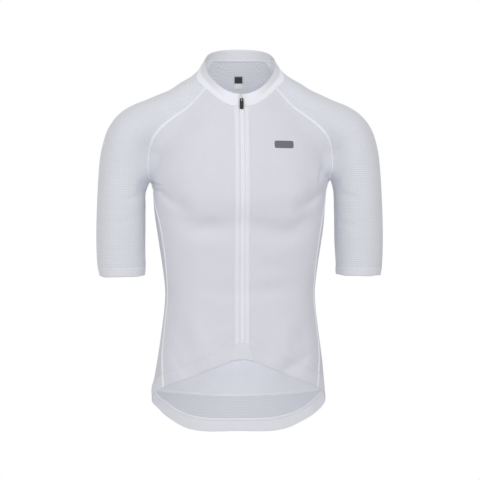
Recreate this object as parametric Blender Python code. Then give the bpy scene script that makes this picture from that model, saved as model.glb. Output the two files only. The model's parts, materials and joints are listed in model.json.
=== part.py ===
"""Short-sleeved cycling jersey with raglan sleeves, filled out as if worn, with nobody in it.

Metres, +Z up, the front faces -Y and +X is the wearer's left. The origin is where the wearer holds
the jersey up: the middle of the neck, level with the collar's seam on the shoulders.

The cloth follows one smooth form, a torso joined to two hanging arms. Each panel is a grid of points
between its seams on that form. Neighbouring panels share the points of a seam and stop half a seam
gap short of it.
"""

import math

import bmesh
import bpy
import numpy as np
from mathutils import Matrix, Vector

# ---------------------------------------------------------------- driving dimensions (metres)
CLOTH = 0.0015  # wall of one layer of knit
DOUBLED = 0.0021  # wall of a folded hem, cuff or collar
SEAM_GAP = 0.0003
BAND_LIFT = 0.0004  # how far a folded band stands proud of the panel beside it

FRONT_HEM_CENTRE = -0.549
SIDE_HEM = -0.605
FRONT_HEM_BAND = 0.029
BACK_HEM_BAND = 0.025  # at the centre of the back; it widens to the front's at the side seams
CUFF_END = -0.396
CUFF_BAND = 0.015

ZIP_HALF = 0.0046  # half width of the closed zip between the plackets
PLACKET_EDGE = 0.0145  # outer edge of each placket, from the centre line

FRONT_RAGLAN_TURN = 55.6  # where the raglan seams meet the collar, degrees round the neck from the front
BACK_RAGLAN_TURN = 138.0

# The rear pockets: one panel on the back. Heights of its two edges.
POCKET_BOTTOM = {"centre": -0.6375, "side": -0.6080}
POCKET_MOUTH = {"centre": -0.4700, "side": -0.4860}
POCKET_LIFT = 0.0013  # from the back's outer face

# The torso, level by level: height, half width, depth in front of and behind the middle plane.
TORSO = [
    (-0.740, 0.1720, 0.109, 0.121),
    (-0.680, 0.1715, 0.109, 0.120),
    (-0.625, 0.1690, 0.109, 0.117),
    (-0.580, 0.1625, 0.109, 0.110),
    (-0.519, 0.1535, 0.108, 0.099),
    (-0.470, 0.1472, 0.107, 0.092),
    (-0.430, 0.1440, 0.107, 0.089),
    (-0.380, 0.1488, 0.109, 0.093),
    (-0.322, 0.1575, 0.115, 0.101),
    (-0.276, 0.1640, 0.122, 0.108),
    (-0.225, 0.1675, 0.124, 0.115),
    (-0.185, 0.1650, 0.119, 0.119),
    (-0.150, 0.1560, 0.110, 0.120),
    (-0.115, 0.1370, 0.097, 0.117),
    (-0.080, 0.1090, 0.080, 0.109),
    (-0.050, 0.0840, 0.066, 0.097),
    (-0.020, 0.0765, 0.059, 0.083),
    (0.005, 0.0772, 0.057, 0.072),
    (0.020, 0.0735, 0.056, 0.066),
    (0.030, 0.0690, 0.056, 0.063),
    (0.070, 0.0650, 0.056, 0.058),
]
TORSO_SQUARENESS = 2.35

# The shoulder and arm: its centre line x, y, z from the neck to past the cuff, and its half width
# across that line in the front view and in depth.
ARM = [
    (0.000, 0.006, -0.050, 0.0480, 0.043),
    (0.050, 0.006, -0.047, 0.0480, 0.044),
    (0.090, 0.006, -0.062, 0.0480, 0.050),
    (0.120, 0.007, -0.079, 0.0480, 0.056),
    (0.155, 0.008, -0.098, 0.0490, 0.060),
    (0.190, 0.008, -0.1145, 0.0505, 0.060),
    (0.2105, 0.007, -0.132, 0.0510, 0.059),
    (0.219, 0.006, -0.158, 0.0490, 0.058),
    (0.223, 0.005, -0.188, 0.0485, 0.057),
    (0.2275, 0.003, -0.230, 0.0465, 0.056),
    (0.2295, 0.000, -0.322, 0.0470, 0.054),
    (0.2280, -0.003, -0.420, 0.0445, 0.051),
]

# How widely the torso and the arm run into each other, by height: tight at the underarm.
BLEND = [
    (-0.300, 0.024),
    (-0.225, 0.024),
    (-0.170, 0.038),
    (-0.110, 0.045),
    (-0.050, 0.026),
    (0.000, 0.014),
]

# Collar edges by the angle t round the neck from the front: z = level - fall cos t - dip cos 2t.
NECK_SEAM = {
    "side": 0.0785, "front": 0.0770, "back": 0.0640, "level": -0.0119, "fall": 0.05075, "dip": 0.0119
}
COLLAR_TOP = {
    "side": 0.0680, "front": 0.0680, "back": 0.0560, "level": 0.0075, "fall": 0.0490, "dip": 0.0085
}

# Raglan seams after the collar: a place x, z in the middle plane of the arm, and how far below level
# the seam lies from there, in degrees. At 90 it is the lowest point of the armhole.
FRONT_RAGLAN = [
    (0.1005, -0.0735, 0),
    (0.1280, -0.0930, 0),
    (0.1510, -0.1120, 0),
    (0.1650, -0.1280, 0),
    (0.1730, -0.1450, 2),
    (0.1770, -0.1600, 12),
    (0.1770, -0.1660, 35),
    (0.1755, -0.1660, 62),
    (0.1735, -0.1660, 90),
]
BACK_RAGLAN = [
    (0.0800, -0.0250, 0),
    (0.1080, -0.0640, 0),
    (0.1330, -0.0960, 0),
    (0.1530, -0.1220, 0),
    (0.1670, -0.1430, 2),
    (0.1750, -0.1590, 12),
    (0.1770, -0.1660, 35),
    (0.1755, -0.1660, 62),
    (0.1735, -0.1660, 90),
]

# Side seam: height, and its angle round the torso from the front in degrees.
SIDE_SEAM = [
    (-0.640, 66.0),
    (-0.605, 67.5),
    (-0.570, 71.5),
    (-0.530, 75.5),
    (-0.440, 76.0),
    (-0.347, 73.0),
    (-0.292, 74.0),
    (-0.264, 78.5),
    (-0.242, 85.0),
    (-0.226, 89.5),
]

# Tail: angle round the torso from the front, and the hem's height there.
TAIL = [
    (67.5, SIDE_HEM),
    (90.0, -0.634),
    (104.0, -0.653),
    (117.0, -0.675),
    (130.0, -0.696),
    (148.0, -0.708),
    (180.0, -0.709),
]

# Soft folds: side (-1 front, 1 back), x and z of both ends, width, and height out of the cloth. Each
# lies on the wearer's left where its x is above zero.
FOLDS = [
    (-1, 0.150, -0.240, 0.112, -0.266, 0.014, -0.0026),
    (-1, 0.142, -0.262, 0.096, -0.294, 0.014, 0.0022),
    (-1, -0.150, -0.236, -0.114, -0.262, 0.014, -0.0030),
    (-1, -0.142, -0.258, -0.104, -0.288, 0.013, 0.0020),
    (-1, 0.118, -0.500, 0.092, -0.572, 0.016, -0.0030),
    (-1, 0.086, -0.490, 0.062, -0.560, 0.015, 0.0018),
    (-1, -0.128, -0.510, -0.112, -0.580, 0.015, -0.0022),
    (1, 0.150, -0.240, 0.108, -0.280, 0.014, -0.0028),
    (1, -0.150, -0.244, -0.104, -0.274, 0.014, -0.0026),
    (1, 0.120, -0.404, 0.018, -0.432, 0.015, -0.0022),
    (1, -0.116, -0.398, -0.030, -0.424, 0.015, -0.0026),
]

FOLD_SIDE_FADE = 0.012  # over this depth a fold fades out towards the other side

HEM_SOFTNESS = 0.12  # how rounded the front hem's peak is
HEM_EASE = 1.12
NECK_CAST_BACK = 0.03
MIRROR = np.array([-1.0, 1.0, 1.0])
SHARP = math.radians(35)
RIM_ORDER = np.array([0.37, 0.61, 1.0])

# Grid counts, and how the grids close up towards the underarm and the panels' sides
SIDE_ROWS = 22
RAGLAN_ROWS = 15
SLEEVE_TUBE_ROWS = 8
FRONT_COLUMNS = 11
BACK_HALF_COLUMNS = 11
SLEEVE_COLUMNS = 20
COLLAR_COLUMNS = 40
COLLAR_ROWS = 4
BAND_ROWS = 3
POCKET_ROWS = 10
POCKET_HALF_COLUMNS = 8  # of the back's own columns
LABEL_ROWS = 3
LABEL_HALF_COLUMNS = 2
SIDE_EASE = 1.7
RAGLAN_EASE = 1.45
PANEL_EASE = 1.4
SLEEVE_EASE = 1.15
FINE = 121  # points of a line before it is resampled
ARCH_POINTS = 14  # of the side seam's last stretch, over the top of the gap under the arm

# Slider, on the zip's face where it crosses the collar. Its bridge is an arch that holds the pull tab.
SLIDER_HEIGHT = -0.0562
SLIDER_LENGTH = 0.0100
SLIDER_TOP_WIDTH = 0.0080
SLIDER_BOTTOM_WIDTH = 0.0062
SLIDER_THICKNESS = 0.0026
BRIDGE_WIRE = 0.0012
BRIDGE_HALF_LENGTH = 0.0026
BRIDGE_RISE = 0.0029  # from the slider's face to the middle of the wire at the top of the arch

# Pull tab: a plate with an eye round the bridge, and the grip. It turns about the eye's top bar.
PULL_AXIS_RISE = 0.0013  # above the slider's face
PULL_LEAN = 5.0  # degrees that the hanging tab leans in from the slider's face
EYE_BAR = 0.0011
EYE_WIDTH = 0.0052
EYE_HOLE_WIDTH = 0.0024
EYE_HOLE_END = 0.0049  # this and the next three are measured from the axis
PLATE_END = 0.0100
GRIP_START = 0.0080
GRIP_END = 0.0248
GRIP_WIDTH = 0.0068
GRIP_THICKNESS = 0.0020
EDGE_ROUND = 0.0003
SLIDER_CORNER = 0.0022
GRIP_CORNER = 0.0024
CORNER_POINTS = 4
BRIDGE_POINTS = 9
BRIDGE_FULLNESS = 0.6  # below 1 squares the arch's shoulders
WELD = 0.00001

LABEL_WIDTH = 0.0176
LABEL_TOP = -0.0020
LABEL_BOTTOM = -0.0265
LABEL_THICKNESS = 0.0010

WHITE_KNIT = (0.80, 0.81, 0.85)
WHITE_MESH = (0.74, 0.76, 0.80)
WHITE_BAND = (0.86, 0.87, 0.90)
BLACK_RUBBER = (0.03, 0.03, 0.035)
GREY_METAL = (0.55, 0.56, 0.58)
DARK_LABEL = (0.10, 0.11, 0.13)


# ---------------------------------------------------------------- the form under the cloth
def through(table):
    """A smooth curve through a table's rows: a function from its first column to the others."""
    rows = np.array(table, float)
    knots, values = rows[:, 0], rows[:, 1:]
    steps = np.diff(values, axis=0) / np.diff(knots)[:, None]
    slopes = np.vstack([steps[:1], (steps[1:] + steps[:-1]) / 2, steps[-1:]])

    def at(x):
        x = np.clip(np.asarray(x, float), knots[0], knots[-1])
        i = np.clip(np.searchsorted(knots, x) - 1, 0, len(knots) - 2)
        width = (knots[i + 1] - knots[i])[..., None]
        t = (x - knots[i])[..., None] / width
        start, end = values[i], values[i + 1]
        out = start * (2 * t**3 - 3 * t**2 + 1) + end * (3 * t**2 - 2 * t**3)
        return out + width * (slopes[i] * (t**3 - 2 * t**2 + t) + slopes[i + 1] * (t**3 - t**2))

    return at


def by_length(points):
    """The same table with its running length, by its first three columns, put in front."""
    rows = np.array(points, float)
    lengths = np.linalg.norm(np.diff(rows[:, :3], axis=0), axis=1)
    return np.column_stack([np.concatenate([[0.0], np.cumsum(lengths)]), rows])


torso_at = through(TORSO)
blend_at = through(BLEND)
ARM_LINE = by_length(ARM)
arm_at = through(ARM_LINE)
ARM_LENGTH = ARM_LINE[-1, 0]


def arm_frame(s):
    """Centre, direction and outward normal of the arm at s, its half width and its half depth."""
    here = arm_at(s)
    nudge = 0.0005
    inner = np.clip(s, nudge, ARM_LENGTH - nudge)
    along = arm_at(inner + nudge)[..., :3] - arm_at(inner - nudge)[..., :3]
    along[..., 1] = 0.0
    along /= np.linalg.norm(along, axis=-1, keepdims=True)
    outward = np.stack([-along[..., 2], np.zeros(along.shape[:-1]), along[..., 0]], axis=-1)
    return here[..., :3], along, outward, here[..., 3], here[..., 4]


def nearest_on_arm(points):
    """Where along the arm's centre line each point lies."""
    samples = np.linspace(0.0, ARM_LENGTH, 90)
    centres = arm_at(samples)[:, :3]
    flat = np.abs(points[..., None, 0] - centres[:, 0]) ** 2 + (points[..., None, 2] - centres[:, 2]) ** 2
    s = samples[np.argmin(flat, axis=-1)]
    nudge = 0.001
    for _ in range(5):
        centre, along, _, _, _ = arm_frame(s)
        bend = (arm_frame(s + nudge)[1] - arm_frame(s - nudge)[1]) / (2 * nudge)
        offset = points - centre
        slope = np.minimum(np.sum(offset * bend, axis=-1) - 1.0, -0.4)
        s = np.clip(s - np.sum(offset * along, axis=-1) / slope, 0.0, ARM_LENGTH)
    return s


def outside_torso(points):
    """How far each point lies outside the torso, level with it."""
    half_width, front, back = np.moveaxis(torso_at(points[..., 2]), -1, 0)
    depth = np.where(points[..., 1] < 0, front, back)
    ratio = (np.abs(points[..., 0]) / half_width) ** TORSO_SQUARENESS
    ratio += (np.abs(points[..., 1]) / depth) ** TORSO_SQUARENESS
    ratio = np.maximum(ratio, 1e-9) ** (1 / TORSO_SQUARENESS)
    return np.hypot(points[..., 0], points[..., 1]) * (1 - 1 / ratio)


def outside_arm(points):
    """How far each point lies outside the shoulder and arm on its own side."""
    mirrored = points.copy()
    mirrored[..., 0] = np.abs(mirrored[..., 0])
    centre, along, outward, half_width, half_depth = arm_frame(nearest_on_arm(mirrored))
    offset = mirrored - centre
    across = np.sum(offset * outward, axis=-1) / half_width
    deep = offset[..., 1] / half_depth
    past_end = np.sum(offset * along, axis=-1)
    ratio = np.maximum(np.hypot(across, deep), 1e-9)
    distance = np.hypot(across * half_width, deep * half_depth) * (1 - 1 / ratio)
    return np.where(past_end > 1e-6, np.maximum(distance, past_end), distance)


def fold_height(points):
    """How far the soft folds push the cloth out at each point."""
    height = 0.0
    for side, x0, z0, x1, z1, width, rise in FOLDS:
        start, run = np.array([x0, z0]), np.array([x1 - x0, z1 - z0])
        offset = points[..., [0, 2]] - start
        share = np.clip(offset @ run / (run @ run), 0, 1)
        away = np.linalg.norm(offset - share[..., None] * run, axis=-1)
        on_side = 1 / (1 + np.exp(-side * points[..., 1] / FOLD_SIDE_FADE))
        height = height + rise * np.exp(-((away / width) ** 2)) * on_side
    return height


def outside(points):
    """Below zero inside the form and above zero outside it: torso and arm smoothly joined, and folds."""
    torso, arm = outside_torso(points), outside_arm(points)
    reach = blend_at(points[..., 2])[..., 0]
    overlap = np.maximum(reach - np.abs(torso - arm), 0.0) / reach
    return np.minimum(torso, arm) - overlap**2 * reach / 4 - fold_height(points)


def cast(origins, directions, longest=0.30):
    """Where rays from inside the form first leave it."""
    origins, directions = np.broadcast_arrays(origins, directions)
    steps = np.linspace(0.004, longest, 120)
    low = np.zeros(origins.shape[:-1])
    high = np.full(origins.shape[:-1], longest)
    found = np.zeros(origins.shape[:-1], bool)
    for step in steps:
        is_out = outside(origins + directions * step) > 0
        first = is_out & ~found
        high = np.where(first, step, high)
        found |= is_out
        low = np.where(found, low, step)
    for _ in range(24):
        middle = (low + high) / 2
        is_out = outside(origins + directions * middle[..., None]) > 0
        high = np.where(is_out, middle, high)
        low = np.where(is_out, low, middle)
    return origins + directions * high[..., None]


def normals_at(points):
    """The form's outward normals."""
    nudge = 0.0008
    slope = [
        outside(points + nudge * axis) - outside(points - nudge * axis) for axis in np.eye(3)
    ]
    slope = np.stack(slope, axis=-1)
    return slope / np.linalg.norm(slope, axis=-1, keepdims=True)


# ---------------------------------------------------------------- ways to place a point on the form
def on_torso(turn, z):
    """Seen from the torso's axis: turn is in degrees from the front, towards +X, at height z."""
    turn, z = np.broadcast_arrays(np.radians(turn), np.asarray(z, float))
    origins = np.stack([0 * z, 0 * z, z], axis=-1)
    return cast(origins, np.stack([np.sin(turn), -np.cos(turn), 0 * z], axis=-1))


def torso_turn(points):
    """The angle round the torso that on_torso takes, from 0 to 360."""
    return np.degrees(np.arctan2(points[..., 0], -points[..., 1])) % 360


def on_front(x, z):
    """Straight ahead of the middle plane, at x and z."""
    x, z = np.broadcast_arrays(np.asarray(x, float), np.asarray(z, float))
    return cast(np.stack([x, 0 * x, z], axis=-1), np.array([0.0, -1.0, 0.0]))


def on_back(x, z):
    """Straight behind the middle plane, at x and z."""
    x, z = np.broadcast_arrays(np.asarray(x, float), np.asarray(z, float))
    return cast(np.stack([x, 0 * x, z], axis=-1), np.array([0.0, 1.0, 0.0]))


def on_arm(turn, s):
    """Seen from the arm's centre line at s: turn is in degrees from outwards, towards the front."""
    turn, s = np.broadcast_arrays(np.radians(turn), np.asarray(s, float))
    centre, _, outward, _, _ = arm_frame(s)
    direction = outward * np.cos(turn)[..., None] + np.array([0.0, -1.0, 0.0]) * np.sin(turn)[..., None]
    return cast(centre, direction, longest=0.16)


def arm_place(points):
    """The turn and s that on_arm takes, for points on the form."""
    s = nearest_on_arm(points)
    centre, _, outward, _, _ = arm_frame(s)
    offset = points - centre
    return np.degrees(np.arctan2(-offset[..., 1], np.sum(offset * outward, axis=-1))), s


# ---------------------------------------------------------------- seams and hems
def edge_height(ring, turn):
    """Height of a ring round the neck, at an angle in degrees from the front."""
    t = np.radians(turn)
    return ring["level"] - ring["fall"] * np.cos(t) - ring["dip"] * np.cos(2 * t)


def ring_place(ring, turn):
    t = np.radians(np.asarray(turn, float))
    depth = np.where(np.cos(t) > 0, ring["front"], ring["back"])
    return np.stack([ring["side"] * np.sin(t), -depth * np.cos(t), edge_height(ring, turn)], axis=-1)


def neck_seam(turn):
    """The collar's seam: its ring, brought onto the form level with it."""
    t = np.radians(np.asarray(turn, float))
    outward = np.stack([np.sin(t), -np.cos(t), 0 * t], axis=-1)
    return cast(ring_place(NECK_SEAM, turn) - NECK_CAST_BACK * outward, outward, 2 * NECK_CAST_BACK)


def turn_at(ring, x):
    """The angle in degrees from the front at which a ring round the neck reaches x."""
    return np.degrees(np.arcsin(np.asarray(x) / ring["side"]))


def side_seam_turn(z):
    return through(SIDE_SEAM)(z)[..., 0]


def hem_height(turn):
    """Height of the hem at an angle round the torso from the front, 0 to 180 degrees."""
    side_turn = TAIL[0][0]
    share = np.minimum(turn / side_turn, 1.0)
    rise = (np.hypot(share, HEM_SOFTNESS) - HEM_SOFTNESS) / (math.hypot(1, HEM_SOFTNESS) - HEM_SOFTNESS)
    front = FRONT_HEM_CENTRE + (SIDE_HEM - FRONT_HEM_CENTRE) * rise**HEM_EASE
    return np.where(turn <= side_turn, front, through(TAIL)(turn)[..., 0])


def hem_band_top(turn):
    """Height of the seam between a panel and its hem band."""
    behind = np.clip((turn - TAIL[0][0]) / (180.0 - TAIL[0][0]), 0, 1)
    return hem_height(turn) + FRONT_HEM_BAND + (BACK_HEM_BAND - FRONT_HEM_BAND) * behind


def towards_end(count, ease):
    """count values from 0 to 1 that close up towards 1 as ease grows from 1."""
    return 1 - (1 - np.linspace(0, 1, count)) ** ease


def from_start(count, ease):
    """count values from 0 to 1 that are closest together at 0."""
    return 1 - towards_end(count, ease)[::-1]


def resample(points, shares):
    """Points at those shares of a line's length."""
    rows = by_length(points)
    return through(rows)(shares * rows[-1, 0])


def raglan_seam(table, neck_turn, side):
    """From the underarm up to the collar, RAGLAN_ROWS points. side is -1 in front, 1 behind."""
    start = neck_seam(neck_turn)
    rows = np.array([(start[0], start[2], 0.0), *table])
    knots = np.column_stack([np.arange(len(rows)), rows])
    x, z, down = through(knots)(np.linspace(0, len(rows) - 1, FINE)).T
    aim = np.radians(np.clip(down, 0, 90))
    origins = np.stack([x, 0 * x, z], axis=-1)
    line = cast(origins, np.stack([0 * x, side * np.cos(aim), -np.sin(aim)], axis=-1))
    return resample(line[::-1], from_start(RAGLAN_ROWS, RAGLAN_EASE))


def side_seam():
    """From the top of the hem band up to the underarm, SIDE_ROWS points."""
    low = hem_band_top(TAIL[0][0])
    for _ in range(8):
        low = hem_band_top(side_seam_turn(low))
    z = np.linspace(low, SIDE_SEAM[-1][0], FINE)
    wall_line = on_torso(side_seam_turn(z), z)
    end_x, from_z, _ = FRONT_RAGLAN[-1]
    share = np.linspace(0, 1, ARCH_POINTS)
    x = wall_line[-1, 0] + (end_x - wall_line[-1, 0]) * share
    origins = np.stack([x, wall_line[-1, 1] * (1 - share), np.full(ARCH_POINTS, from_z)], axis=-1)
    arch = cast(origins, np.array([0.0, 0.0, -1.0]))
    return resample(np.vstack([wall_line, arch[1:]]), towards_end(SIDE_ROWS, SIDE_EASE))


# ---------------------------------------------------------------- grids and walls
def filled(bottom, top, left, right, spread=1):
    """A grid of chart places between four edges; rows run from bottom to top, columns left to right.

    The two sides' own shape reaches less far across the grid as spread grows from 1.
    """
    v = np.linspace(0, 1, len(left))[:, None, None]
    u = np.linspace(0, 1, len(bottom))[None, :, None]
    upward = bottom[None] * (1 - v) + top[None] * v
    from_left = left[:, None] - upward[:, :1]
    from_right = right[:, None] - upward[:, -1:]
    return upward + from_left * (1 - u) ** spread + from_right * u**spread


def torso_chart(points):
    return np.column_stack([torso_turn(points), points[:, 2]])


def torso_panel(bottom, top, left, right):
    """A grid of points on the form between four edges given as points."""
    chart = filled(*(torso_chart(edge) for edge in (bottom, top, left, right)))
    grid = on_torso(chart[..., 0], chart[..., 1])
    grid[0], grid[-1], grid[:, 0], grid[:, -1] = bottom, top, left, right
    return grid


def both_sides(half):
    """A grid whose first column lies on the middle plane, with its mirror image on the other side."""
    half[:, 0, 0] = 0.0
    return np.concatenate([half[:, :0:-1] * MIRROR, half], axis=1)


def grid_normals(grid):
    """A grid's own normals, for columns that run counter-clockwise seen from above."""
    across, up = np.gradient(grid, axis=1), np.gradient(grid, axis=0)
    normals = np.cross(across, up)
    return normals / np.linalg.norm(normals, axis=-1, keepdims=True)


def set_back(grid, normals):
    """The grid with each of its four edges moved in half a seam gap, along the cloth."""
    moved = grid.copy()
    for turned in (False, True):
        rows, faces, target = (
            each.swapaxes(0, 1) if turned else each for each in (grid, normals, moved)
        )
        for edge, inner in ((0, 1), (-1, -2)):
            inward = np.cross(faces[edge], np.gradient(rows[edge], axis=0))
            inward /= np.linalg.norm(inward, axis=-1, keepdims=True)
            way = np.sign(np.sum(inward * (rows[inner] - rows[edge]), axis=-1, keepdims=True))
            target[edge] += inward * way * SEAM_GAP / 2
    return moved


def add_material(obj, colour, roughness=0.8, metallic=0.0):
    material = bpy.data.materials.new(obj.name)
    material.use_nodes = True
    shader = material.node_tree.nodes["Principled BSDF"]
    shader.inputs["Base Color"].default_value = (*colour, 1.0)
    shader.inputs["Roughness"].default_value = roughness
    shader.inputs["Metallic"].default_value = metallic
    obj.data.materials.append(material)


def wall(name, grid, normals, thickness, colour, lift=0.0):
    """One closed wall of cloth. The grid, less the seam gaps and lifted, is its outer face.

    Two walls that meet split the quads of their rims along the same diagonals, so that twisted rims
    stay a seam gap apart: each diagonal starts on the outer face at the end that RIM_ORDER puts higher.
    """
    outer = set_back(grid, normals) + normals * lift
    middle = tuple(size // 2 for size in grid.shape[:2])
    if np.dot(grid_normals(outer)[middle], normals[middle]) < 0:
        outer, normals = outer[:, ::-1], normals[:, ::-1]
    inner = outer - normals * thickness
    rows, columns = outer.shape[:2]
    number = np.arange(rows * columns).reshape(rows, columns)
    behind = rows * columns
    corners = [number[:-1, :-1], number[:-1, 1:], number[1:, 1:], number[1:, :-1]]
    front = np.stack(corners, axis=-1).reshape(-1, 4)
    vertices = np.concatenate([outer.reshape(-1, 3), inner.reshape(-1, 3)])
    rim = np.concatenate([number[0], number[1:, -1], number[-1, -2::-1], number[-2:0:-1, 0]])
    ahead = np.roll(rim, -1)
    order = np.abs(vertices) @ RIM_ORDER
    rising = order[rim] < order[ahead]
    near = np.stack([ahead, rim, np.where(rising, rim, ahead) + behind], axis=-1)
    far = np.stack([np.where(rising, ahead, rim), rim + behind, ahead + behind], axis=-1)
    faces = [*front.tolist(), *(front[:, ::-1] + behind).tolist(), *near.tolist(), *far.tolist()]
    mesh = bpy.data.meshes.new(name)
    mesh.from_pydata(vertices.tolist(), [], faces)
    mesh.shade_smooth()
    mesh.set_sharp_from_angle(angle=SHARP)
    obj = bpy.data.objects.new(name, mesh)
    JERSEY.objects.link(obj)
    add_material(obj, colour)


def wall_pair(name, grid, normals, thickness, colour, lift=0.0):
    """The wall on the wearer's left, and its mirror image on the right."""
    wall(name + "_left", grid, normals, thickness, colour, lift)
    wall(name + "_right", grid * MIRROR, normals * MIRROR, thickness, colour, lift)


# ---------------------------------------------------------------- panels
def column_heights(low, under, neck):
    """Heights of a panel's rows on its inner edge: from its band to the underarm, then to the neck."""
    below = low + (under - low) * towards_end(SIDE_ROWS, SIDE_EASE)
    above = under + (neck - under) * from_start(RAGLAN_ROWS, RAGLAN_EASE)
    return np.concatenate([below, above[1:]])


def turns_between(start, end, count, ease=1.0):
    return start + (end - start) * towards_end(count, ease)


def seam_height_at(x):
    """Height at which the neck seam crosses the line at x from the centre."""
    turns = np.linspace(0, 30, FINE)
    seam = neck_seam(turns)
    return float(np.interp(x, seam[:, 0], seam[:, 2]))


def front_edge(x, under):
    """The line up the front at x from the centre, from the hem band to the neck seam."""
    hem_depth = torso_at(FRONT_HEM_CENTRE + FRONT_HEM_BAND)[1]
    low = float(hem_band_top(math.degrees(math.atan2(x, hem_depth))))
    return on_front(x, column_heights(low, under, seam_height_at(x)))


def add_fronts(side, front_raglan):
    """Both front panels, from the placket out to the side seam and the raglan seam."""
    outer_edge = np.vstack([side, front_raglan[1:]])
    inner_edge = front_edge(PLACKET_EDGE, side[-1, 2])
    low_turns = turns_between(torso_turn(inner_edge[0]), torso_turn(side[0]), FRONT_COLUMNS, PANEL_EASE)
    bottom = on_torso(low_turns, hem_band_top(low_turns))
    top = neck_seam(turns_between(turn_at(NECK_SEAM, PLACKET_EDGE), FRONT_RAGLAN_TURN, FRONT_COLUMNS))
    bottom[0], bottom[-1] = inner_edge[0], outer_edge[0]
    top[0], top[-1] = inner_edge[-1], outer_edge[-1]
    grid = torso_panel(bottom, top, inner_edge, outer_edge)
    wall_pair("front", grid, normals_at(grid), CLOTH, WHITE_KNIT)


def add_plackets(under):
    """The doubled strips beside the zip, from the hem band up to the collar."""
    grid = np.stack([front_edge(x, under) for x in (ZIP_HALF, PLACKET_EDGE)], axis=1)
    wall_pair("placket", grid, normals_at(grid), DOUBLED, WHITE_BAND, lift=BAND_LIFT)


def collar_grid(seam_turns, top_turns):
    """Points of the collar's outer face, from its seam up, at angles round the neck on both edges."""
    v = np.linspace(0, 1, COLLAR_ROWS)[:, None, None]
    return neck_seam(seam_turns)[None] * (1 - v) + ring_place(COLLAR_TOP, top_turns)[None] * v


def collar_grid_at(x):
    """The same at distances x from the centre line."""
    return collar_grid(turn_at(NECK_SEAM, x), turn_at(COLLAR_TOP, x))


def add_collar():
    """The stand-up band round the neck, open where the zip passes."""
    first = turn_at(NECK_SEAM, ZIP_HALF)
    turns = np.linspace(first, 360 - first, COLLAR_COLUMNS)
    grid = collar_grid(turns, turns)
    at_zip = collar_grid_at(np.array([ZIP_HALF]))[:, 0]
    grid[:, 0], grid[:, -1] = at_zip, at_zip * MIRROR
    normals = grid_normals(grid)
    normals[0] = normals_at(grid[0])
    wall("collar", grid, normals, DOUBLED, WHITE_BAND)


def add_zip(under):
    """Both halves of the closed zip: tape from the hem band up over the collar to its top."""
    body = np.stack([front_edge(x, under) for x in (0.0, ZIP_HALF)], axis=1)
    grid = np.concatenate([body, collar_grid_at(np.array([0.0, ZIP_HALF]))[1:]])
    wall_pair("zip", grid, grid_normals(grid), CLOTH, WHITE_BAND)


def add_back(side, back_raglan):
    """The back panel, from side seam to side seam."""
    outer_edge = np.vstack([side, back_raglan[1:]])
    heights = column_heights(hem_band_top(180.0), side[-1, 2], edge_height(NECK_SEAM, 180.0))
    middle = on_torso(180.0, heights)
    low_turns = turns_between(180.0, torso_turn(side[0]), BACK_HALF_COLUMNS, PANEL_EASE)
    bottom = on_torso(low_turns, hem_band_top(low_turns))
    top = neck_seam(turns_between(180.0, BACK_RAGLAN_TURN, BACK_HALF_COLUMNS))
    bottom[-1], top[-1] = outer_edge[0], outer_edge[-1]
    top[0], bottom[0] = middle[-1], middle[0]
    half = torso_panel(bottom, top, middle, outer_edge)
    grid = both_sides(half)
    wall("back", grid, normals_at(grid), CLOTH, WHITE_MESH)
    return half


def add_pockets(back_half):
    """The rear pocket panel, flat on the back: on the lines between the back's own columns, moved out."""
    columns = back_half[:, :POCKET_HALF_COLUMNS]
    out = np.linspace(0, 1, POCKET_HALF_COLUMNS) ** 2
    bottom, mouth = (
        edge["centre"] + (edge["side"] - edge["centre"]) * out for edge in (POCKET_BOTTOM, POCKET_MOUTH)
    )
    heights = np.linspace(bottom, mouth, POCKET_ROWS)
    grid = np.stack([at_heights(columns[:, i], heights[:, i]) for i in range(len(out))], axis=1)
    grid = both_sides(grid)
    wall("rear_pockets", grid, normals_at(grid), CLOTH, WHITE_KNIT, lift=POCKET_LIFT + CLOTH)


def at_heights(line, heights):
    """Points of a rising line at those heights."""
    return np.stack([np.interp(heights, line[:, 2], line[:, axis]) for axis in range(3)], axis=-1)


def add_label():
    """The label on the inner face of the back, under the collar."""
    x = np.linspace(0, LABEL_WIDTH / 2, LABEL_HALF_COLUMNS)
    z = np.linspace(LABEL_BOTTOM, LABEL_TOP, LABEL_ROWS)
    grid = both_sides(on_back(x[None], z[:, None]))
    wall("neck_label", grid, normals_at(grid), LABEL_THICKNESS, DARK_LABEL, lift=-CLOTH - SEAM_GAP)


def add_sleeves(front_raglan, back_raglan):
    """Both raglan sleeves and their cuffs: panels rolled round the arm and joined along the underarm."""
    top = neck_seam(turns_between(FRONT_RAGLAN_TURN, BACK_RAGLAN_TURN, SLEEVE_COLUMNS))
    top[0], top[-1] = front_raglan[-1], back_raglan[-1]
    under_turn, under_s = arm_place(front_raglan[0])
    under_turn = abs(under_turn)
    share = np.linspace(-1, 1, SLEEVE_COLUMNS)
    turns = -under_turn * np.sign(share) * (1 - (1 - np.abs(share)) ** SLEEVE_EASE)
    ring = np.column_stack([turns, np.full(SLEEVE_COLUMNS, under_s)])
    front, back = (np.column_stack(arm_place(edge)) for edge in (front_raglan, back_raglan))
    front[0, 0], back[0, 0] = under_turn, -under_turn
    chart = filled(ring, np.column_stack(arm_place(top)), front, back, spread=3)
    cap = on_arm(chart[..., 0], chart[..., 1])
    cap[-1], cap[:, 0], cap[:, -1] = top, front_raglan, back_raglan
    cuff_top, cuff_end = (arm_s_at(z) for z in (CUFF_END + CUFF_BAND, CUFF_END))
    tube = arm_tube(turns, np.linspace(cuff_top, under_s, SLEEVE_TUBE_ROWS))
    grid = np.concatenate([tube[:-1], cap])
    wall_pair("sleeve", grid, normals_at(grid), CLOTH, WHITE_MESH)
    cuff = arm_tube(turns, np.linspace(cuff_end, cuff_top, BAND_ROWS))
    wall_pair("cuff", cuff, normals_at(cuff), DOUBLED, WHITE_BAND, lift=BAND_LIFT)


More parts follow.
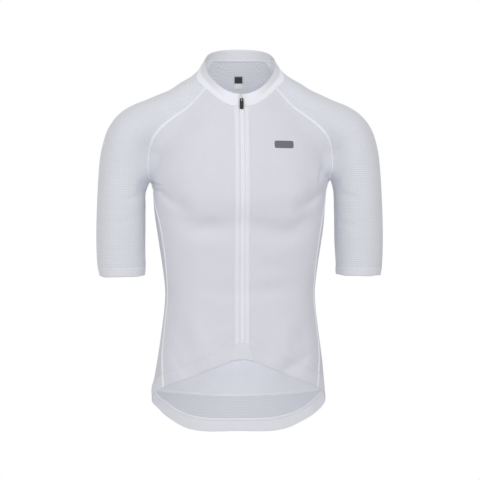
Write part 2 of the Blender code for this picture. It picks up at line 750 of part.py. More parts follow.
def arm_tube(turns, s):
    """Rings round the arm at each s, whose first and last points meet under it."""
    tube = on_arm(turns[None], s[:, None])
    tube[:, -1] = tube[:, 0]
    return tube


def arm_s_at(z):
    samples = np.linspace(ARM_LENGTH / 2, ARM_LENGTH, FINE)
    return float(np.interp(-z, -arm_at(samples)[:, 2], samples))


def add_hem_bands(side):
    """The folded hems: one along both fronts, one along the back."""
    low_side, top_side = TAIL[0][0], torso_turn(side[0])
    upward = np.linspace(0, 1, BAND_ROWS)[:, None]
    for name, middle_turn, columns in (
        ("front_hem", 0.0, FRONT_COLUMNS + 2),
        ("back_hem", 180.0, BACK_HALF_COLUMNS),
    ):
        low_turns = turns_between(middle_turn, low_side, columns, PANEL_EASE)
        top_turns = turns_between(middle_turn, top_side, columns, PANEL_EASE)
        turns = low_turns * (1 - upward) + top_turns * upward
        heights = hem_height(low_turns) * (1 - upward) + hem_band_top(top_turns) * upward
        grid = both_sides(on_torso(turns, heights))
        wall(name, grid, normals_at(grid), DOUBLED, WHITE_BAND, lift=BAND_LIFT)


# ---------------------------------------------------------------- slider and pull tab
def collar_face(height):
    """The frame on the zip's face at a height on the collar: X across, Y up the zip, Z out of it."""
    seam, top = Vector(neck_seam(0.0)), Vector(ring_place(COLLAR_TOP, 0.0))
    across, up = Vector((1, 0, 0)), (top - seam).normalized()
    out = across.cross(up)
    place = seam + up * (height - seam.z) / up.z
    return Matrix.Translation(place) @ Matrix((across, up, out)).transposed().to_4x4()


def rounded(corners, radius):
    """An outline through corners, each replaced by a short curve that starts radius before it."""
    outline = []
    for before, corner, after in zip(corners[-1:] + corners[:-1], corners, corners[1:] + corners[:1]):
        before, corner, after = Vector(before), Vector(corner), Vector(after)
        start = corner + (before - corner).normalized() * radius
        end = corner + (after - corner).normalized() * radius
        for share in np.linspace(0, 1, CORNER_POINTS):
            outline.append(start.lerp(corner, share).lerp(corner.lerp(end, share), share))
    return outline


def block(half_width, low, high, end_half_width=None):
    """Corners of a plate from low to high along Y; end_half_width is its half width at high."""
    end_half_width = end_half_width or half_width
    return [(-half_width, low), (half_width, low), (end_half_width, high), (-end_half_width, high)]


def plate(name, outlines, thickness, centre_height=0.0):
    """A flat solid with rounded edges between outlines, the first one outside and the others holes."""
    curve = bpy.data.curves.new(name, "CURVE")
    curve.dimensions = "2D"
    curve.fill_mode = "BOTH"
    curve.extrude = thickness / 2 - EDGE_ROUND
    curve.bevel_depth = EDGE_ROUND
    curve.bevel_resolution = 1
    curve.offset = -EDGE_ROUND
    for outline in outlines:
        spline = curve.splines.new("POLY")
        spline.points.add(len(outline) - 1)
        for point, place in zip(spline.points, outline):
            point.co = (*place, 0, 1)
        spline.use_cyclic_u = True
    return solid(name, curve, Matrix.Translation((0, 0, centre_height)))


def wire(name, points, diameter):
    curve = bpy.data.curves.new(name, "CURVE")
    curve.dimensions = "3D"
    curve.bevel_depth = diameter / 2
    curve.bevel_resolution = 2
    curve.use_fill_caps = True
    spline = curve.splines.new("POLY")
    spline.points.add(len(points) - 1)
    for point, place in zip(spline.points, points):
        point.co = (*place, 1)
    return solid(name, curve, Matrix())


def solid(name, curve, placed):
    """A curve's own mesh, welded and placed, as an object that isn't in a collection yet."""
    guide = bpy.data.objects.new(name, curve)
    bpy.context.scene.collection.objects.link(guide)
    bpy.context.view_layer.update()
    mesh = bpy.data.meshes.new_from_object(guide.evaluated_get(bpy.context.evaluated_depsgraph_get()))
    bpy.data.objects.remove(guide)
    welded = bmesh.new()
    welded.from_mesh(mesh)
    bmesh.ops.remove_doubles(welded, verts=welded.verts, dist=WELD)
    bmesh.ops.recalc_face_normals(welded, faces=welded.faces)
    welded.transform(placed)
    welded.to_mesh(mesh)
    welded.free()
    mesh.materials.clear()
    return bpy.data.objects.new(name, mesh)


def joined(main_piece, added_piece, frame, colour, **finish):
    """Both pieces as one object in the jersey, the added one by a Boolean union."""
    JERSEY.objects.link(main_piece)
    TOOLS.objects.link(added_piece)
    added_piece.hide_render = True
    added_piece.display_type = "WIRE"
    union = main_piece.modifiers.new("join", "BOOLEAN")
    union.operation = "UNION"
    union.object = added_piece
    main_piece.matrix_world = added_piece.matrix_world = frame
    add_material(main_piece, colour, **finish)


def add_slider(face):
    half = SLIDER_LENGTH / 2
    corners = block(SLIDER_BOTTOM_WIDTH / 2, -half, half, SLIDER_TOP_WIDTH / 2)
    top = SEAM_GAP + SLIDER_THICKNESS
    outline = rounded(corners, SLIDER_CORNER)
    body = plate("zip_slider", [outline], SLIDER_THICKNESS, top - SLIDER_THICKNESS / 2)
    arch = [
        (0.0, -BRIDGE_HALF_LENGTH * math.cos(a), top + BRIDGE_RISE * math.sin(a) ** BRIDGE_FULLNESS)
        for a in np.linspace(0, math.pi, BRIDGE_POINTS)
    ]
    ends = [(0.0, side * BRIDGE_HALF_LENGTH, top - SLIDER_THICKNESS / 2) for side in (-1, 1)]
    bridge = wire("slider_bridge", [ends[0], *arch, ends[1]], BRIDGE_WIRE)
    joined(body, bridge, face, GREY_METAL, roughness=0.35, metallic=1.0)


def add_pull_tab(face):
    """The pull tab, hanging: its own Y points down the zip from the axis, and it swings out and up."""
    start = -EYE_BAR / 2
    eye = rounded(block(EYE_WIDTH / 2, start, PLATE_END), EYE_BAR)
    hole = rounded(block(EYE_HOLE_WIDTH / 2, EYE_BAR / 2, EYE_HOLE_END), EYE_BAR / 2)
    plate_piece = plate("pull_tab_plate", [eye, hole], EYE_BAR)
    grip_outline = rounded(block(GRIP_WIDTH / 2, GRIP_START, GRIP_END, GRIP_WIDTH / 2), GRIP_CORNER)
    grip = plate("pull_tab", [grip_outline], GRIP_THICKNESS)
    axis = Matrix.Translation((0, 0, SEAM_GAP + SLIDER_THICKNESS + PULL_AXIS_RISE))
    hanging = Matrix.Rotation(math.radians(180 + PULL_LEAN), 4, "X")
    joined(grip, plate_piece, face @ axis @ hanging, BLACK_RUBBER, roughness=0.6)


def main():
    side = side_seam()
    front_raglan = raglan_seam(FRONT_RAGLAN, FRONT_RAGLAN_TURN, -1)
    back_raglan = raglan_seam(BACK_RAGLAN, BACK_RAGLAN_TURN, 1)
    front_raglan[0] = back_raglan[0] = side[-1]
    add_fronts(side, front_raglan)
    add_plackets(side[-1, 2])
    add_pockets(add_back(side, back_raglan))
    add_sleeves(front_raglan, back_raglan)
    add_hem_bands(side)
    add_collar()
    add_zip(side[-1, 2])
    add_label()
    face = collar_face(SLIDER_HEIGHT)
    add_slider(face)
    add_pull_tab(face)


for leftover in list(bpy.data.objects):
    bpy.data.objects.remove(leftover)
JERSEY = bpy.data.collections.new("cycling_jersey")
TOOLS = bpy.data.collections.new("tools")
for group in (JERSEY, TOOLS):
    bpy.context.scene.collection.children.link(group)
main()
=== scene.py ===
"""The dressed visual model of the cycling jersey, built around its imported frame.

Every cloth piece is grown from the grid of points that its packed wall was made from: smoothed,
creased, thinned to a cloth's thickness and given its knit. Metres, Z up, the front faces -Y.
"""
import json
import math
from collections import defaultdict

import bpy
import numpy as np
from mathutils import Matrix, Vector
from mathutils.bvhtree import BVHTree


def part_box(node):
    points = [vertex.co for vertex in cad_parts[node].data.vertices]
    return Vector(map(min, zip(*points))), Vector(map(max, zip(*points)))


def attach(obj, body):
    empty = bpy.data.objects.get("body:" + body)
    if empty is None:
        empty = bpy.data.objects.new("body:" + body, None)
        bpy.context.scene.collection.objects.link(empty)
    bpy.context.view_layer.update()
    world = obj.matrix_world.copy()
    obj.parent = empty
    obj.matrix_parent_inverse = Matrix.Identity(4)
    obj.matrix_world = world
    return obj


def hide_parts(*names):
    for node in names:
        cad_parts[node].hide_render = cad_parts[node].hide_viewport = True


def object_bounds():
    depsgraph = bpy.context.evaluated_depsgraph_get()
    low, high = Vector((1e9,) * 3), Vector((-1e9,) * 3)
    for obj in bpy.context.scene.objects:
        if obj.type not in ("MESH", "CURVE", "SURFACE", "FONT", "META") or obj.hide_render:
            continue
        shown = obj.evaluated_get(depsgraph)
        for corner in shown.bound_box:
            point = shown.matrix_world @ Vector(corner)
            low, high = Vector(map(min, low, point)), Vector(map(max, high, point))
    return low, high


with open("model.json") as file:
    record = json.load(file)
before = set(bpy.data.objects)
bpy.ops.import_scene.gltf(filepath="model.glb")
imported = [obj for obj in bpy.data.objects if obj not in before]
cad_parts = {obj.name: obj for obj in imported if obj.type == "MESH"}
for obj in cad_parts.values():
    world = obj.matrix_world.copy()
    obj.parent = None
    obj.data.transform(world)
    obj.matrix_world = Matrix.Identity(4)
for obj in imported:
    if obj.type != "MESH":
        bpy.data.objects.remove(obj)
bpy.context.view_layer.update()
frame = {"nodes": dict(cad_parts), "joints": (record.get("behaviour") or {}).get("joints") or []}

# -------------------- the picture
IMAGE = 480
METRES_PER_PIXEL = 0.00193  # at the middle plane of the jersey
CAMERA_DISTANCE, CAMERA_HEIGHT = 3.0, -0.326
CAMERA_AZIMUTH = -2.3  # degrees round from the front, towards the wearer's right
SENSOR = 36.0  # millimetres
LENS = SENSOR * CAMERA_DISTANCE / (IMAGE * METRES_PER_PIXEL)

# -------------------- the cloth
CELL = 0.0032  # size of the smoothed grids' cells
CELL_PERCENT = 75  # percent of a row's cells that are no longer than that
KINK = 0.55  # radians: an edge that turns more than this at a point keeps its corner there
BODY_ENDS = (-0.72, -0.12)  # heights of the line that the body's cloth looks away from
SHOULDER = (0.13, 0.006, -0.13)  # where that line turns into the left arm's
ARM_X, ARM_ENDS = 0.2285, (-0.25, -0.45)  # the middle of the sleeves
KNIT = 0.0006  # thickness of one layer
BAND = 0.0013  # of a folded hem, cuff or collar
LAP = 0.0009  # how far a band that stands proud reaches over the panel beside it
RIM_BULGE = 0.3  # of a cloth's rounded rim, as a share of its thickness
UNDERARM_ROW = 21  # of the fronts' and the back's own rows
CAP_ROW = 7  # of the sleeves' own rows
CLOTH_UV = "cloth"
STRIP_SECTION = (  # across and up, round a tape's section
    (-1.0, -1.0), (1.0, -1.0), (1.0, 0.25), (0.82, 0.8), (0.35, 1.0), (-0.35, 1.0), (-0.82, 0.8),
    (-1.0, 0.25),
)
CREASE_POINTS = 13  # on the line of a crease
CREASE_REACH = 3  # beyond this many of its widths from its line a crease isn't felt
CREASE_FADE, CREASE_END = 0.35, 0.15  # the share of its length where it fades out, and what is left then
SIDE_FADE = 0.012  # over this depth a crease fades out towards the other side

# Creases, in millimetres: side (-1 front, 1 back), then x and z of the start, the middle and the end, the
# width, and the height out of the cloth. Each lies on the wearer's left where its x is above zero.
CREASES = [
    # puckers under the arms, and the pulls from there over the chest
    (-1, -176, -214, -163, -221, -150, -224, 3.0, -3.6),
    (-1, -176, -226, -160, -232, -144, -240, 3.6, -2.8),
    (-1, -163, -229, -147, -243, -124, -258, 6.0, -2.2),
    (-1, -158, -240, -141, -258, -118, -280, 7.0, 0.4),
    (-1, 170, -198, 163, -212, 160, -230, 3.2, -3.8),
    (-1, 158, -182, 151, -203, 150, -224, 4.0, -2.8),
    (-1, 148, -182, 141, -202, 142, -224, 5.0, 1.2),
    (-1, 163, -226, 143, -246, 114, -262, 6.5, -2.4),
    (-1, 158, -238, 136, -262, 108, -286, 7.5, 0.4),
    # pulls from the bottom of the zip, and the soft folds over the hips
    (-1, -8, -508, -28, -520, -52, -536, 5.0, -1.2),
    (-1, 10, -506, 34, -522, 64, -536, 5.5, -1.3),
    (-1, -12, -486, -40, -500, -70, -520, 7.0, 0.9),
    (-1, 136, -532, 102, -560, 50, -576, 9.0, -2.6),
    (-1, 122, -514, 90, -540, 54, -550, 10.0, 1.0),
    (-1, -132, -520, -122, -554, -98, -580, 9.0, -1.8),
    (-1, -88, -340, -66, -354, -40, -358, 12.0, -0.8),
    # the turn under the chest, and the hollows below it
    (-1, -112, -292, -10, -302, 104, -290, 23.0, -3.6),
    (-1, -130, -244, -88, -302, -6, -289, 19.0, -6.6),
    (-1, 138, -240, 94, -310, 8, -289, 20.0, -7.0),
    (-1, -92, -416, -4, -424, 104, -414, 15.0, -1.7),
    (-1, 18, -412, 60, -421, 112, -404, 17.0, -2.6),
    (-1, 22, -364, 60, -378, 106, -364, 16.0, -1.5),
    (-1, -96, -240, 6, -250, 100, -238, 20.0, 1.6),
    (-1, 128, -216, 104, -238, 66, -246, 24.0, 3.4),
    (-1, -118, -226, -90, -246, -56, -248, 22.0, 1.8),
    # beside the zip, where it waves a little
    (-1, 18, -240, 20, -262, 18, -284, 6.0, 0.6),
    (-1, -18, -330, -20, -352, -18, -372, 6.0, 0.6),
    (-1, 18, -420, 20, -444, 18, -466, 6.0, 0.6),
    # sleeves: the inner bend in front, and the shoulders
    (-1, -186, -236, -206, -246, -226, -248, 5.5, -1.6),
    (-1, -188, -270, -208, -286, -230, -292, 6.5, -1.2),
    (-1, 184, -232, 206, -242, 228, -246, 5.5, -1.7),
    (-1, 188, -286, 210, -300, 236, -300, 6.5, -1.1),
    (1, -184, -238, -206, -252, -230, -256, 6.0, -1.7),
    (1, 186, -230, 208, -250, 232, -250, 6.0, -1.6),
    (1, 190, -300, 214, -312, 240, -318, 7.0, -1.2),
    (1, -150, -130, -168, -158, -172, -186, 6.0, -1.4),
    # the back: pulls from the underarms, the hollow above the pockets and their sag
    (1, -166, -232, -140, -250, -108, -262, 6.5, -2.2),
    (1, -160, -248, -132, -272, -104, -296, 7.5, 1.4),
    (1, 168, -228, 142, -252, 110, -270, 6.5, -2.4),
    (1, 158, -250, 130, -280, 106, -310, 7.5, 1.3),
    (1, -120, -412, -62, -424, -4, -418, 8.5, -1.8),
    (1, 132, -396, 74, -412, 22, -404, 9.0, -1.6),
    (1, 112, -442, 66, -452, 20, -450, 8.0, 1.0),
    (1, -58, -128, -20, -140, 24, -134, 10.0, -1.0),
    (1, 0, -90, 4, -240, -3, -400, 22.0, -3.4),
    (1, -94, -110, -78, -170, -46, -215, 20.0, 1.6),
    (1, 90, -106, 80, -172, 50, -212, 20.0, 1.8),
]

# Soft shifts that bring the outline to the photograph's, in millimetres: x and z of the middle, the reach
# across and up, and how far the cloth there is moved across and up.
SHIFTS = [
    # the gaps under the arms
    (-174, -225, 16, 18, 0.0, 7.0),
    (-187, -230, 9, 16, -5.0, 0.0),
    (171, -223, 16, 22, 0.0, 12.5),
    (180, -226, 9, 14, 2.6, 0.0),
    (160, -256, 12, 30, -2.6, 0.0),
    # the tops and the outer sides of the shoulders
    (-132, -35, 24, 30, 0.0, -4.0),
    (132, -35, 22, 30, 0.0, -2.6),
    (-262, -112, 30, 34, 3.4, 0.0),
    (264, -112, 30, 30, -2.4, 0.0),
    # the cuffs, whose lower corners are round
    (-228, -402, 60, 30, 0.0, 1.6),
    (228, -402, 60, 30, 0.0, 3.4),
    (-276, -400, 11, 18, 3.6, 4.2),
    (-184, -375, 12, 20, 1.2, 0.0),
    (-184, -404, 9, 10, -1.4, 3.4),
    (181, -376, 12, 30, 2.2, 0.0),
    (184, -404, 10, 11, 2.4, 5.0),
    (275, -400, 11, 16, -2.2, 3.4),
    (259, -404, 9, 12, 0.0, 2.6),
    # the tail
    (185, -628, 45, 55, -5.6, 0.0),
    (130, -690, 50, 20, -2.0, 1.6),
    (-160, -655, 30, 14, 3.0, 1.8),
    (-145, -682, 50, 22, 2.2, 2.2),
    (-178, -612, 30, 12, -3.0, 0.0),
]

# -------------------- sewing
STITCH_PITCH, STITCH_GAP = 0.0022, 0.25  # and the share of it that is left free between two stitches
THREAD = 0.00042
STITCH_SIDES = 5
STITCH_SHAPE = ((-0.36, 0.72), (0.0, 1.0), (0.36, 0.72))  # place along a stitch, and size there
THREAD_LIFT = 0.12  # of a stitch's middle out of the cloth, as a share of the thread
FLAT_SEAM_RISE = 0.00045
TAPE_EDGE_DEPTH = 0.0002  # how far the edges of a seam's tape reach into the cloth
INSIDE_WIDTH = 0.8  # of a seam's tape inside, as a share of the one outside
SEAM_STITCHES, SEAM_STITCH_LEVEL = 0.3, 0.9  # shares of a tape's width and rise where its threads lie
RAGLAN_WIDTHS = [(0.0, 0.0030), (0.25, 0.0046), (0.55, 0.0062), (0.8, 0.0050), (1.0, 0.0040)]
SIDE_SEAM_WIDTH, SIDE_SEAM_RISE = 0.0054, 0.0009
SLEEVE_SEAM_WIDTH = 0.0024
COLLAR_SEAM_WIDTHS = [(0.0, 0.0016), (0.10, 0.0020), (0.20, 0.0044), (0.80, 0.0044), (0.90, 0.0020),
                      (1.0, 0.0016)]  # by the share of the way round the neck, from zip to zip
COLLAR_SEAM_RISE, COLLAR_SEAM_DEPTH = 0.0005, 0.0012
COLLAR_SHADE_START, COLLAR_SHADE_START_FADE = 0.0075, 0.005  # how far up from its seam the collar's painted shade begins, where the seam's allowance inside it is taken to end, and how far it fades in
COLLAR_SHADE_ASIDE, COLLAR_SHADE_ASIDE_FADE = 0.10, 0.20  # shares of half the way round that the zip's facing lines, where the collar has no painted shade, and over which that shade fades in
COLLAR_PAINTED_SHADE = 0.20  # how much greyer the collar is painted where neither lies behind it: painted shade
FRONT_HEM_SEAM_WIDTH, FRONT_HEM_SEAM_RISE = 0.0050, 0.00022
HEM_RIDGE_PLACE, HEM_RIDGE_WIDTH, HEM_RIDGE_RISE = 0.0008, 0.0040, 0.0013
# a thin grey strip under the ridge inside the back hem: painted shadow
HEM_SHADOW_LINE_PLACE = HEM_RIDGE_PLACE + 0.7 * HEM_RIDGE_WIDTH
HEM_SHADOW_LINE_WIDTH, HEM_SHADOW_LINE_RISE = 0.0012, 0.00015
POCKET_SEAM_WIDTH, POCKET_SEAM_RISE = 0.0052, 0.0006
POCKET_LIFT = 0.0012  # of the pockets' outer face from the back's
POCKET_LOWEST = 0.0007  # where their sides are sewn down
POCKET_EDGE = 0.03  # the share of half the pockets' width over which they come down to it
POCKET_GAPE = 0.0036  # more at the mouth, between the dividers
POCKET_PINCH = 0.014  # how far beside a divider the pockets are held down
POCKET_HOLD = 0.85  # the share of the gape that a divider takes away
POCKET_DIVIDER = 0.072  # from the middle line
DIVIDER_ROWS = (-0.0014, 0.0014)  # the two rows of stitches along it
MOUTH_BAND, MOUTH_BAND_ROWS, MOUTH_BAND_LIFT = 0.0145, 7, 0.0005
BARTACK_LENGTH, BARTACK_WIDTH, BARTACK_PITCH, BARTACK_POINTS = 0.0090, 0.0027, 0.0006, 5
DOUBLED_BEHIND = -0.02  # the y behind which the cloth above that seam is doubled
DOUBLED_FADE = 0.002  # above the seam

# Rows of stitches: panel, edge, how far each row is from it, and how far the cloth's face is lifted there.
STITCH_ROWS = [
    ("sleeve_left", "bottom", (0.0014, 0.0042), 0.0),
    ("sleeve_right", "bottom", (0.0014, 0.0042), 0.0),
    ("front_left", "bottom", (0.0016, 0.0046), 0.0),
    ("front_right", "bottom", (0.0016, 0.0046), 0.0),
    ("back", "bottom", (0.0016, 0.0046), 0.0),
    ("placket_left", "right", (0.0012,), 0.0),
    ("placket_right", "left", (0.0012,), 0.0),
    ("collar", "top", (0.0018,), 0.0),
    ("collar", "bottom", (0.0024,), 0.0),
    ("rear_pockets", "bottom", (0.0010, 0.0034), 0.0),
    ("rear_pockets", "left", (0.0012,), 0.0),
    ("rear_pockets", "right", (0.0012,), 0.0),
    ("rear_pockets", "top", (0.0120,), MOUTH_BAND_LIFT),
]

# -------------------- the zip and the trim
TAPE_SINK = 0.0003
ROLL_PLACE, ROLL_WIDTH, ROLL_RISE = 0.0048, 0.0058, 0.0005  # the turned edge of a placket, a raised strip in a lighter colour for the highlight along it: partly painted highlight
ZIP_SHADE_LINE_PLACE, ZIP_SHADE_LINE_WIDTH, ZIP_SHADE_LINE_RISE = 0.0011, 0.0008, 0.0002  # a grey line along the tape's outer edge: painted shade
LIP_WIDTH, LIP_RISE = 0.0032, 0.0004  # the tapes' folded edges, which meet over the coil
TOOTH_PITCH, TOOTH_LENGTH, TOOTH_THICKNESS = 0.00125, 0.0028, 0.0006
TOOTH_REACH = 0.0006  # past the middle line
COIL_DEPTH = 0.0017  # behind the tapes' outer face
ZIP_PATCH_HALF_WIDTHS = (0.0235, 0.0120)  # of the piece that ends the zip, at its bottom and top
ZIP_PATCH_MARGIN, ZIP_PATCH_REACH = 0.0015, 0.0030  # below, and up over the zip's end
ZIP_PATCH_THICKNESS = 0.0009
CHEST_BAR_X, CHEST_BAR_Z, CHEST_BAR_WIDTH, CHEST_BAR_HEIGHT = 0.0785, -0.1474, 0.036, 0.014
CHEST_BAR_THICKNESS, CHEST_BAR_LIFT = 0.0003, 0.00025
PATCH_CORNER, PATCH_ROWS, PATCH_COLUMNS = 0.003, 17, 21
LABEL_CELL, LABEL_THICKNESS, TAG_THICKNESS = 0.0012, 0.0005, 0.0003
LABEL_SPLIT = -0.0170  # the height where the dark label ends and its white tag begins
LABEL_BACKWARD = 0.0007  # nearer the back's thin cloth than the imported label
LABEL_EDGE_PLACE, LABEL_EDGE_WIDTH, LABEL_EDGE_RISE = 0.0006, 0.0007, 0.00015

# The slider, from the middle of its plate, and the pull, from the hinge's axis. Ends are along it, and
# widths and thicknesses are whole.
SLIDER_ENDS, SLIDER_WIDTHS, SLIDER_THICKNESS = (-0.0050, 0.0050), (0.0080, 0.0062), 0.0026
SLIDER_CORNER = 0.0022
SLIDER_SLOT = 0.0008  # depth of the slot in its sides, where the tapes run in
BRIDGE_HALF_LENGTH, BRIDGE_RISE, BRIDGE_FULLNESS = 0.0026, 0.0029, 0.6
BRIDGE_WIDTH, BRIDGE_WIRE, BRIDGE_POINTS = 0.0014, 0.0012, 33
EYE_BAR, EYE_WIDTH, EYE_HOLE_END, EYE_FULLNESS, EYE_POINTS = 0.0011, 0.0052, 0.0049, 0.5, 48
PULL_PLATE_ENDS, PULL_PLATE_WIDTH, PULL_PLATE_CORNER = (0.0046, 0.0122), 0.0070, 0.0016
RIVET_ENDS, RIVET_SIZE, RIVET_THICKNESS, RIVET_SQUARENESS = (0.00715, 0.00965), 0.0025, 0.0017, 2.6
GRIP_ENDS, GRIP_WIDTHS, GRIP_THICKNESS, GRIP_CORNER = (0.0106, 0.0262), (0.0078, 0.0068), 0.0022, 0.0024
GRIP_GROOVE = (0.00035, 0.0008, 0.0118, 0.0228)  # depth, width and both ends of the recess in its faces
FORM_RINGS, FORM_SIDES, WIRE_SIDES = 41, 64, 16
FORM_SQUARENESS = 4.5  # the power of a flat form's section: 2 is an ellipse
FORM_ROUNDING = 0.6  # of its ends, as a share of half its thickness
SLOT_SHARE = 0.25  # of half its thickness, which the slot in its sides takes

# -------------------- floor, light and colours
FLOOR_HEIGHT, FLOOR_RADIUS, FLOOR_SIDES = -1.2, 1.6, 96
FLOOR_RINGS = ((0.5, 0.0), (0.995, 0.0), (1.0, 0.004))  # share of the radius, and how far it lies lower
AMBIENT = 0.475
LIGHTS = [
    # name, place, what it is turned to, width, height (None for a disk) and watts
    ("key", (1.2, -1.7, 1.5), (0, 0, -0.3), 1.4, None, 10.5),
    ("top_left", (-1.2, -1.7, 1.5), (0, 0, -0.3), 1.4, None, 6.5),
    ("front", (0, -2.85, 0.3), (0, 0, -0.35), 1.6, None, 20.5),
    ("side", (-2.4, -0.6, 0.2), (0, 0, -0.35), 1.4, None, 5.3),
    ("back_left", (1.4, 2.4, 0.6), (0, 0, -0.35), 1.6, None, 12),
    ("back_right", (-1.6, 2.2, 0.3), (0, 0, -0.35), 1.6, None, 9),
    # light that really reaches the inside through the thin cloth, which is opaque here
    ("through_front", (0, -0.04, -0.51), (0, 0.08, -0.66), 0.12, 0.06, 0.135),
    ("through_neck", (0, -0.035, -0.10), (0, 0.07, -0.02), 0.09, 0.05, 0.042),
]
COLOURS = {
    "front": (0.740, 0.745, 0.815), "placket": (0.810, 0.818, 0.880), "collar": (0.820, 0.832, 0.885),
    "mesh": (0.730, 0.746, 0.800), "back": (0.710, 0.727, 0.790), "band": (0.765, 0.773, 0.825),
    # The inside colours on the next line are lighter than those of the same cloths outside, for light
    # shining through the cloth: painted light.
    "tape": (0.900, 0.912, 0.965), "inside": (0.760, 0.770, 0.835), "inside_band": (0.830, 0.840, 0.885),
    "thread": (0.840, 0.850, 0.890), "label": (0.030, 0.033, 0.042), "tag": (0.840, 0.845, 0.860),
    # On the next line, the second colour, for the thin lines beside the zip and under the back hem's
    # ridge, is painted shade.
    "grey": (0.150, 0.154, 0.175), "cord": (0.800, 0.810, 0.865), "pull_metal": (0.045, 0.047, 0.055),
    "rubber": (0.008, 0.008, 0.011), "metal": (0.780, 0.785, 0.800), "side_tape": (0.930, 0.940, 0.965),
    # On the next line, the first colour, lighter than the placket's, is the highlight along a placket's
    # turned edge: painted highlight.
    "roll": (0.850, 0.862, 0.920), "floor": (0.80, 0.80, 0.80),
}


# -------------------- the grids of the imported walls
def unit(vectors):
    return vectors / np.maximum(np.linalg.norm(vectors, axis=-1, keepdims=True), 1e-12)


def numbered(rows, columns, first=0):
    return np.arange(rows * columns).reshape(rows, columns) + first


def quads_of(number):
    """The four-cornered faces between rows and columns of numbered points."""
    corners = (number[:-1, :-1], number[:-1, 1:], number[1:, 1:], number[1:, :-1])
    return np.stack(corners, axis=-1).reshape(-1, 4)


def ring_quads(number):
    """The same where each row is a ring."""
    return quads_of(np.concatenate([number, number[:, :1]], axis=1))


def circle(count):
    """Angles of count points on a circle."""
    return np.linspace(0, 2 * math.pi, count + 1)[:-1]


def lengths_along(line):
    """How far along a line each of its points is."""
    return np.concatenate([[0], np.cumsum(np.linalg.norm(np.diff(line, axis=0), axis=1))])


def from_line(line, points):
    """From the nearest place on a line to each point: the way there, how far, and the place's share."""
    offsets, distances = np.zeros_like(points), np.full(len(points), np.inf)
    shares = np.zeros(len(points))
    for k, (start, end) in enumerate(zip(line[:-1], line[1:])):
        run = end - start
        share = np.clip((points - start) @ run / (run @ run), 0, 1)
        offset = points - start - share[:, None] * run
        distance = np.linalg.norm(offset, axis=1)
        closer = distance < distances
        offsets[closer], distances[closer] = offset[closer], distance[closer]
        shares[closer] = (k + share[closer]) / (len(line) - 1)
    return offsets, distances, shares


def axis_points(side):
    """The middle of the body and of the arm on that side, which the cloth's outer faces look away from."""
    x, y, z = SHOULDER
    body, arm = [(0, 0, end) for end in BODY_ENDS], [(side * ARM_X, 0, end) for end in ARM_ENDS]
    return np.array([*body, (side * x, y, z), *arm])


def welded(node):
    """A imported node's points and triangles. A place where two edges only touch stays two points."""
    mesh = node.data
    places = np.empty(len(mesh.vertices) * 3)
    mesh.vertices.foreach_get("co", places)
    corners = np.empty(len(mesh.loops), int)
    mesh.loops.foreach_get("vertex_index", corners)
    _, first, same = np.unique(np.round(places.reshape(-1, 3), 6), axis=0, return_index=True,
                               return_inverse=True)
    triangles = same.reshape(-1)[corners].reshape(-1, 3)
    triangles = triangles[[len(set(t)) == 3 for t in triangles.tolist()]]
    parent = list(range(len(triangles) * 3))

    def root(i):
        while parent[i] != i:
            parent[i] = parent[parent[i]]
            i = parent[i]
        return i

    edges = defaultdict(list)
    for face, triangle in enumerate(triangles.tolist()):
        for k, ahead in ((0, 1), (1, 2), (2, 0)):
            pair = {triangle[k]: face * 3 + k, triangle[ahead]: face * 3 + ahead}
            edges[frozenset(pair)].append(pair)
    for pairs in edges.values():
        for point, corner in pairs[0].items():
            parent[root(corner)] = root(pairs[1][point])
    fans = np.array([root(i) for i in range(len(parent))])
    _, index, own = np.unique(fans, return_index=True, return_inverse=True)
    return places.reshape(-1, 3)[first[triangles.reshape(-1)[index]]], own.reshape(-1, 3)


def outer_grid(name):
    """The rows and columns of points that a wall's outer face was made from.

    Rows run upward, and columns counter-clockwise seen from above, so across x up points outward.
    """
    points, triangles = welded(frame["nodes"][name])
    a, b, c = (points[triangles[:, k]] for k in range(3))
    normals = np.zeros_like(points)
    for k in range(3):
        np.add.at(normals, triangles[:, k], np.cross(b - a, c - a))
    line = axis_points(1 if points[:, 0].mean() >= 0 else -1)
    if not name.startswith("sleeve"):
        line = line[:2]
    outer = np.sum(normals * from_line(line, points)[0], axis=1) > 0
    neighbours, uses = defaultdict(set), defaultdict(int)
    for triangle in triangles[outer[triangles].all(axis=1)].tolist():
        for i, j in zip(triangle, triangle[1:] + triangle[:1]):
            neighbours[i].add(j)
            neighbours[j].add(i)
            uses[frozenset((i, j))] += 1
    loop = rim_loop([edge for edge, times in uses.items() if times == 1])
    found = grids_within(loop, int(outer.sum()), neighbours)
    if not found:
        raise ValueError(f"{name}: no grid found")
    grid = min((points[numbers] for numbers in found), key=grid_skew)
    climb = np.abs(np.diff(grid[..., 2], axis=0)).mean() / span(grid, 0)
    drift = np.abs(np.diff(grid[..., 2], axis=1)).mean() / span(grid, 1)
    if drift > climb:
        grid = grid.swapaxes(0, 1)
    if grid[-1, :, 2].mean() < grid[0, :, 2].mean():
        grid = grid[::-1]
    outward = from_line(line, grid.reshape(-1, 3))[0]
    if np.sum(grid_normals(grid).reshape(-1, 3) * outward) < 0:
        grid = grid[:, ::-1]
    return grid


def rim_loop(edges):
    """The points round a face, in order, from the edges of its rim."""
    rim = defaultdict(list)
    for i, j in edges:
        rim[i].append(j)
        rim[j].append(i)
    start = next(iter(rim))
    loop, before, here = [start], None, start
    while True:
        before, here = here, next(point for point in rim[here] if point != before)
        if here == start:
            return loop
        loop.append(here)


def grids_within(loop, count, neighbours):
    """Every way to lay count points out in rows and columns with that loop round them."""
    half_sum = len(loop) // 2 + 2
    found = []
    for columns in range(2, half_sum - 1):
        rows = half_sum - columns
        if rows * columns != count:
            continue
        for ring in (loop, loop[::-1]):
            for turn in range(len(ring)):
                numbers = walked(ring[turn:] + ring[:turn], rows, columns, neighbours)
                if numbers is not None:
                    found.append(numbers)
    return found


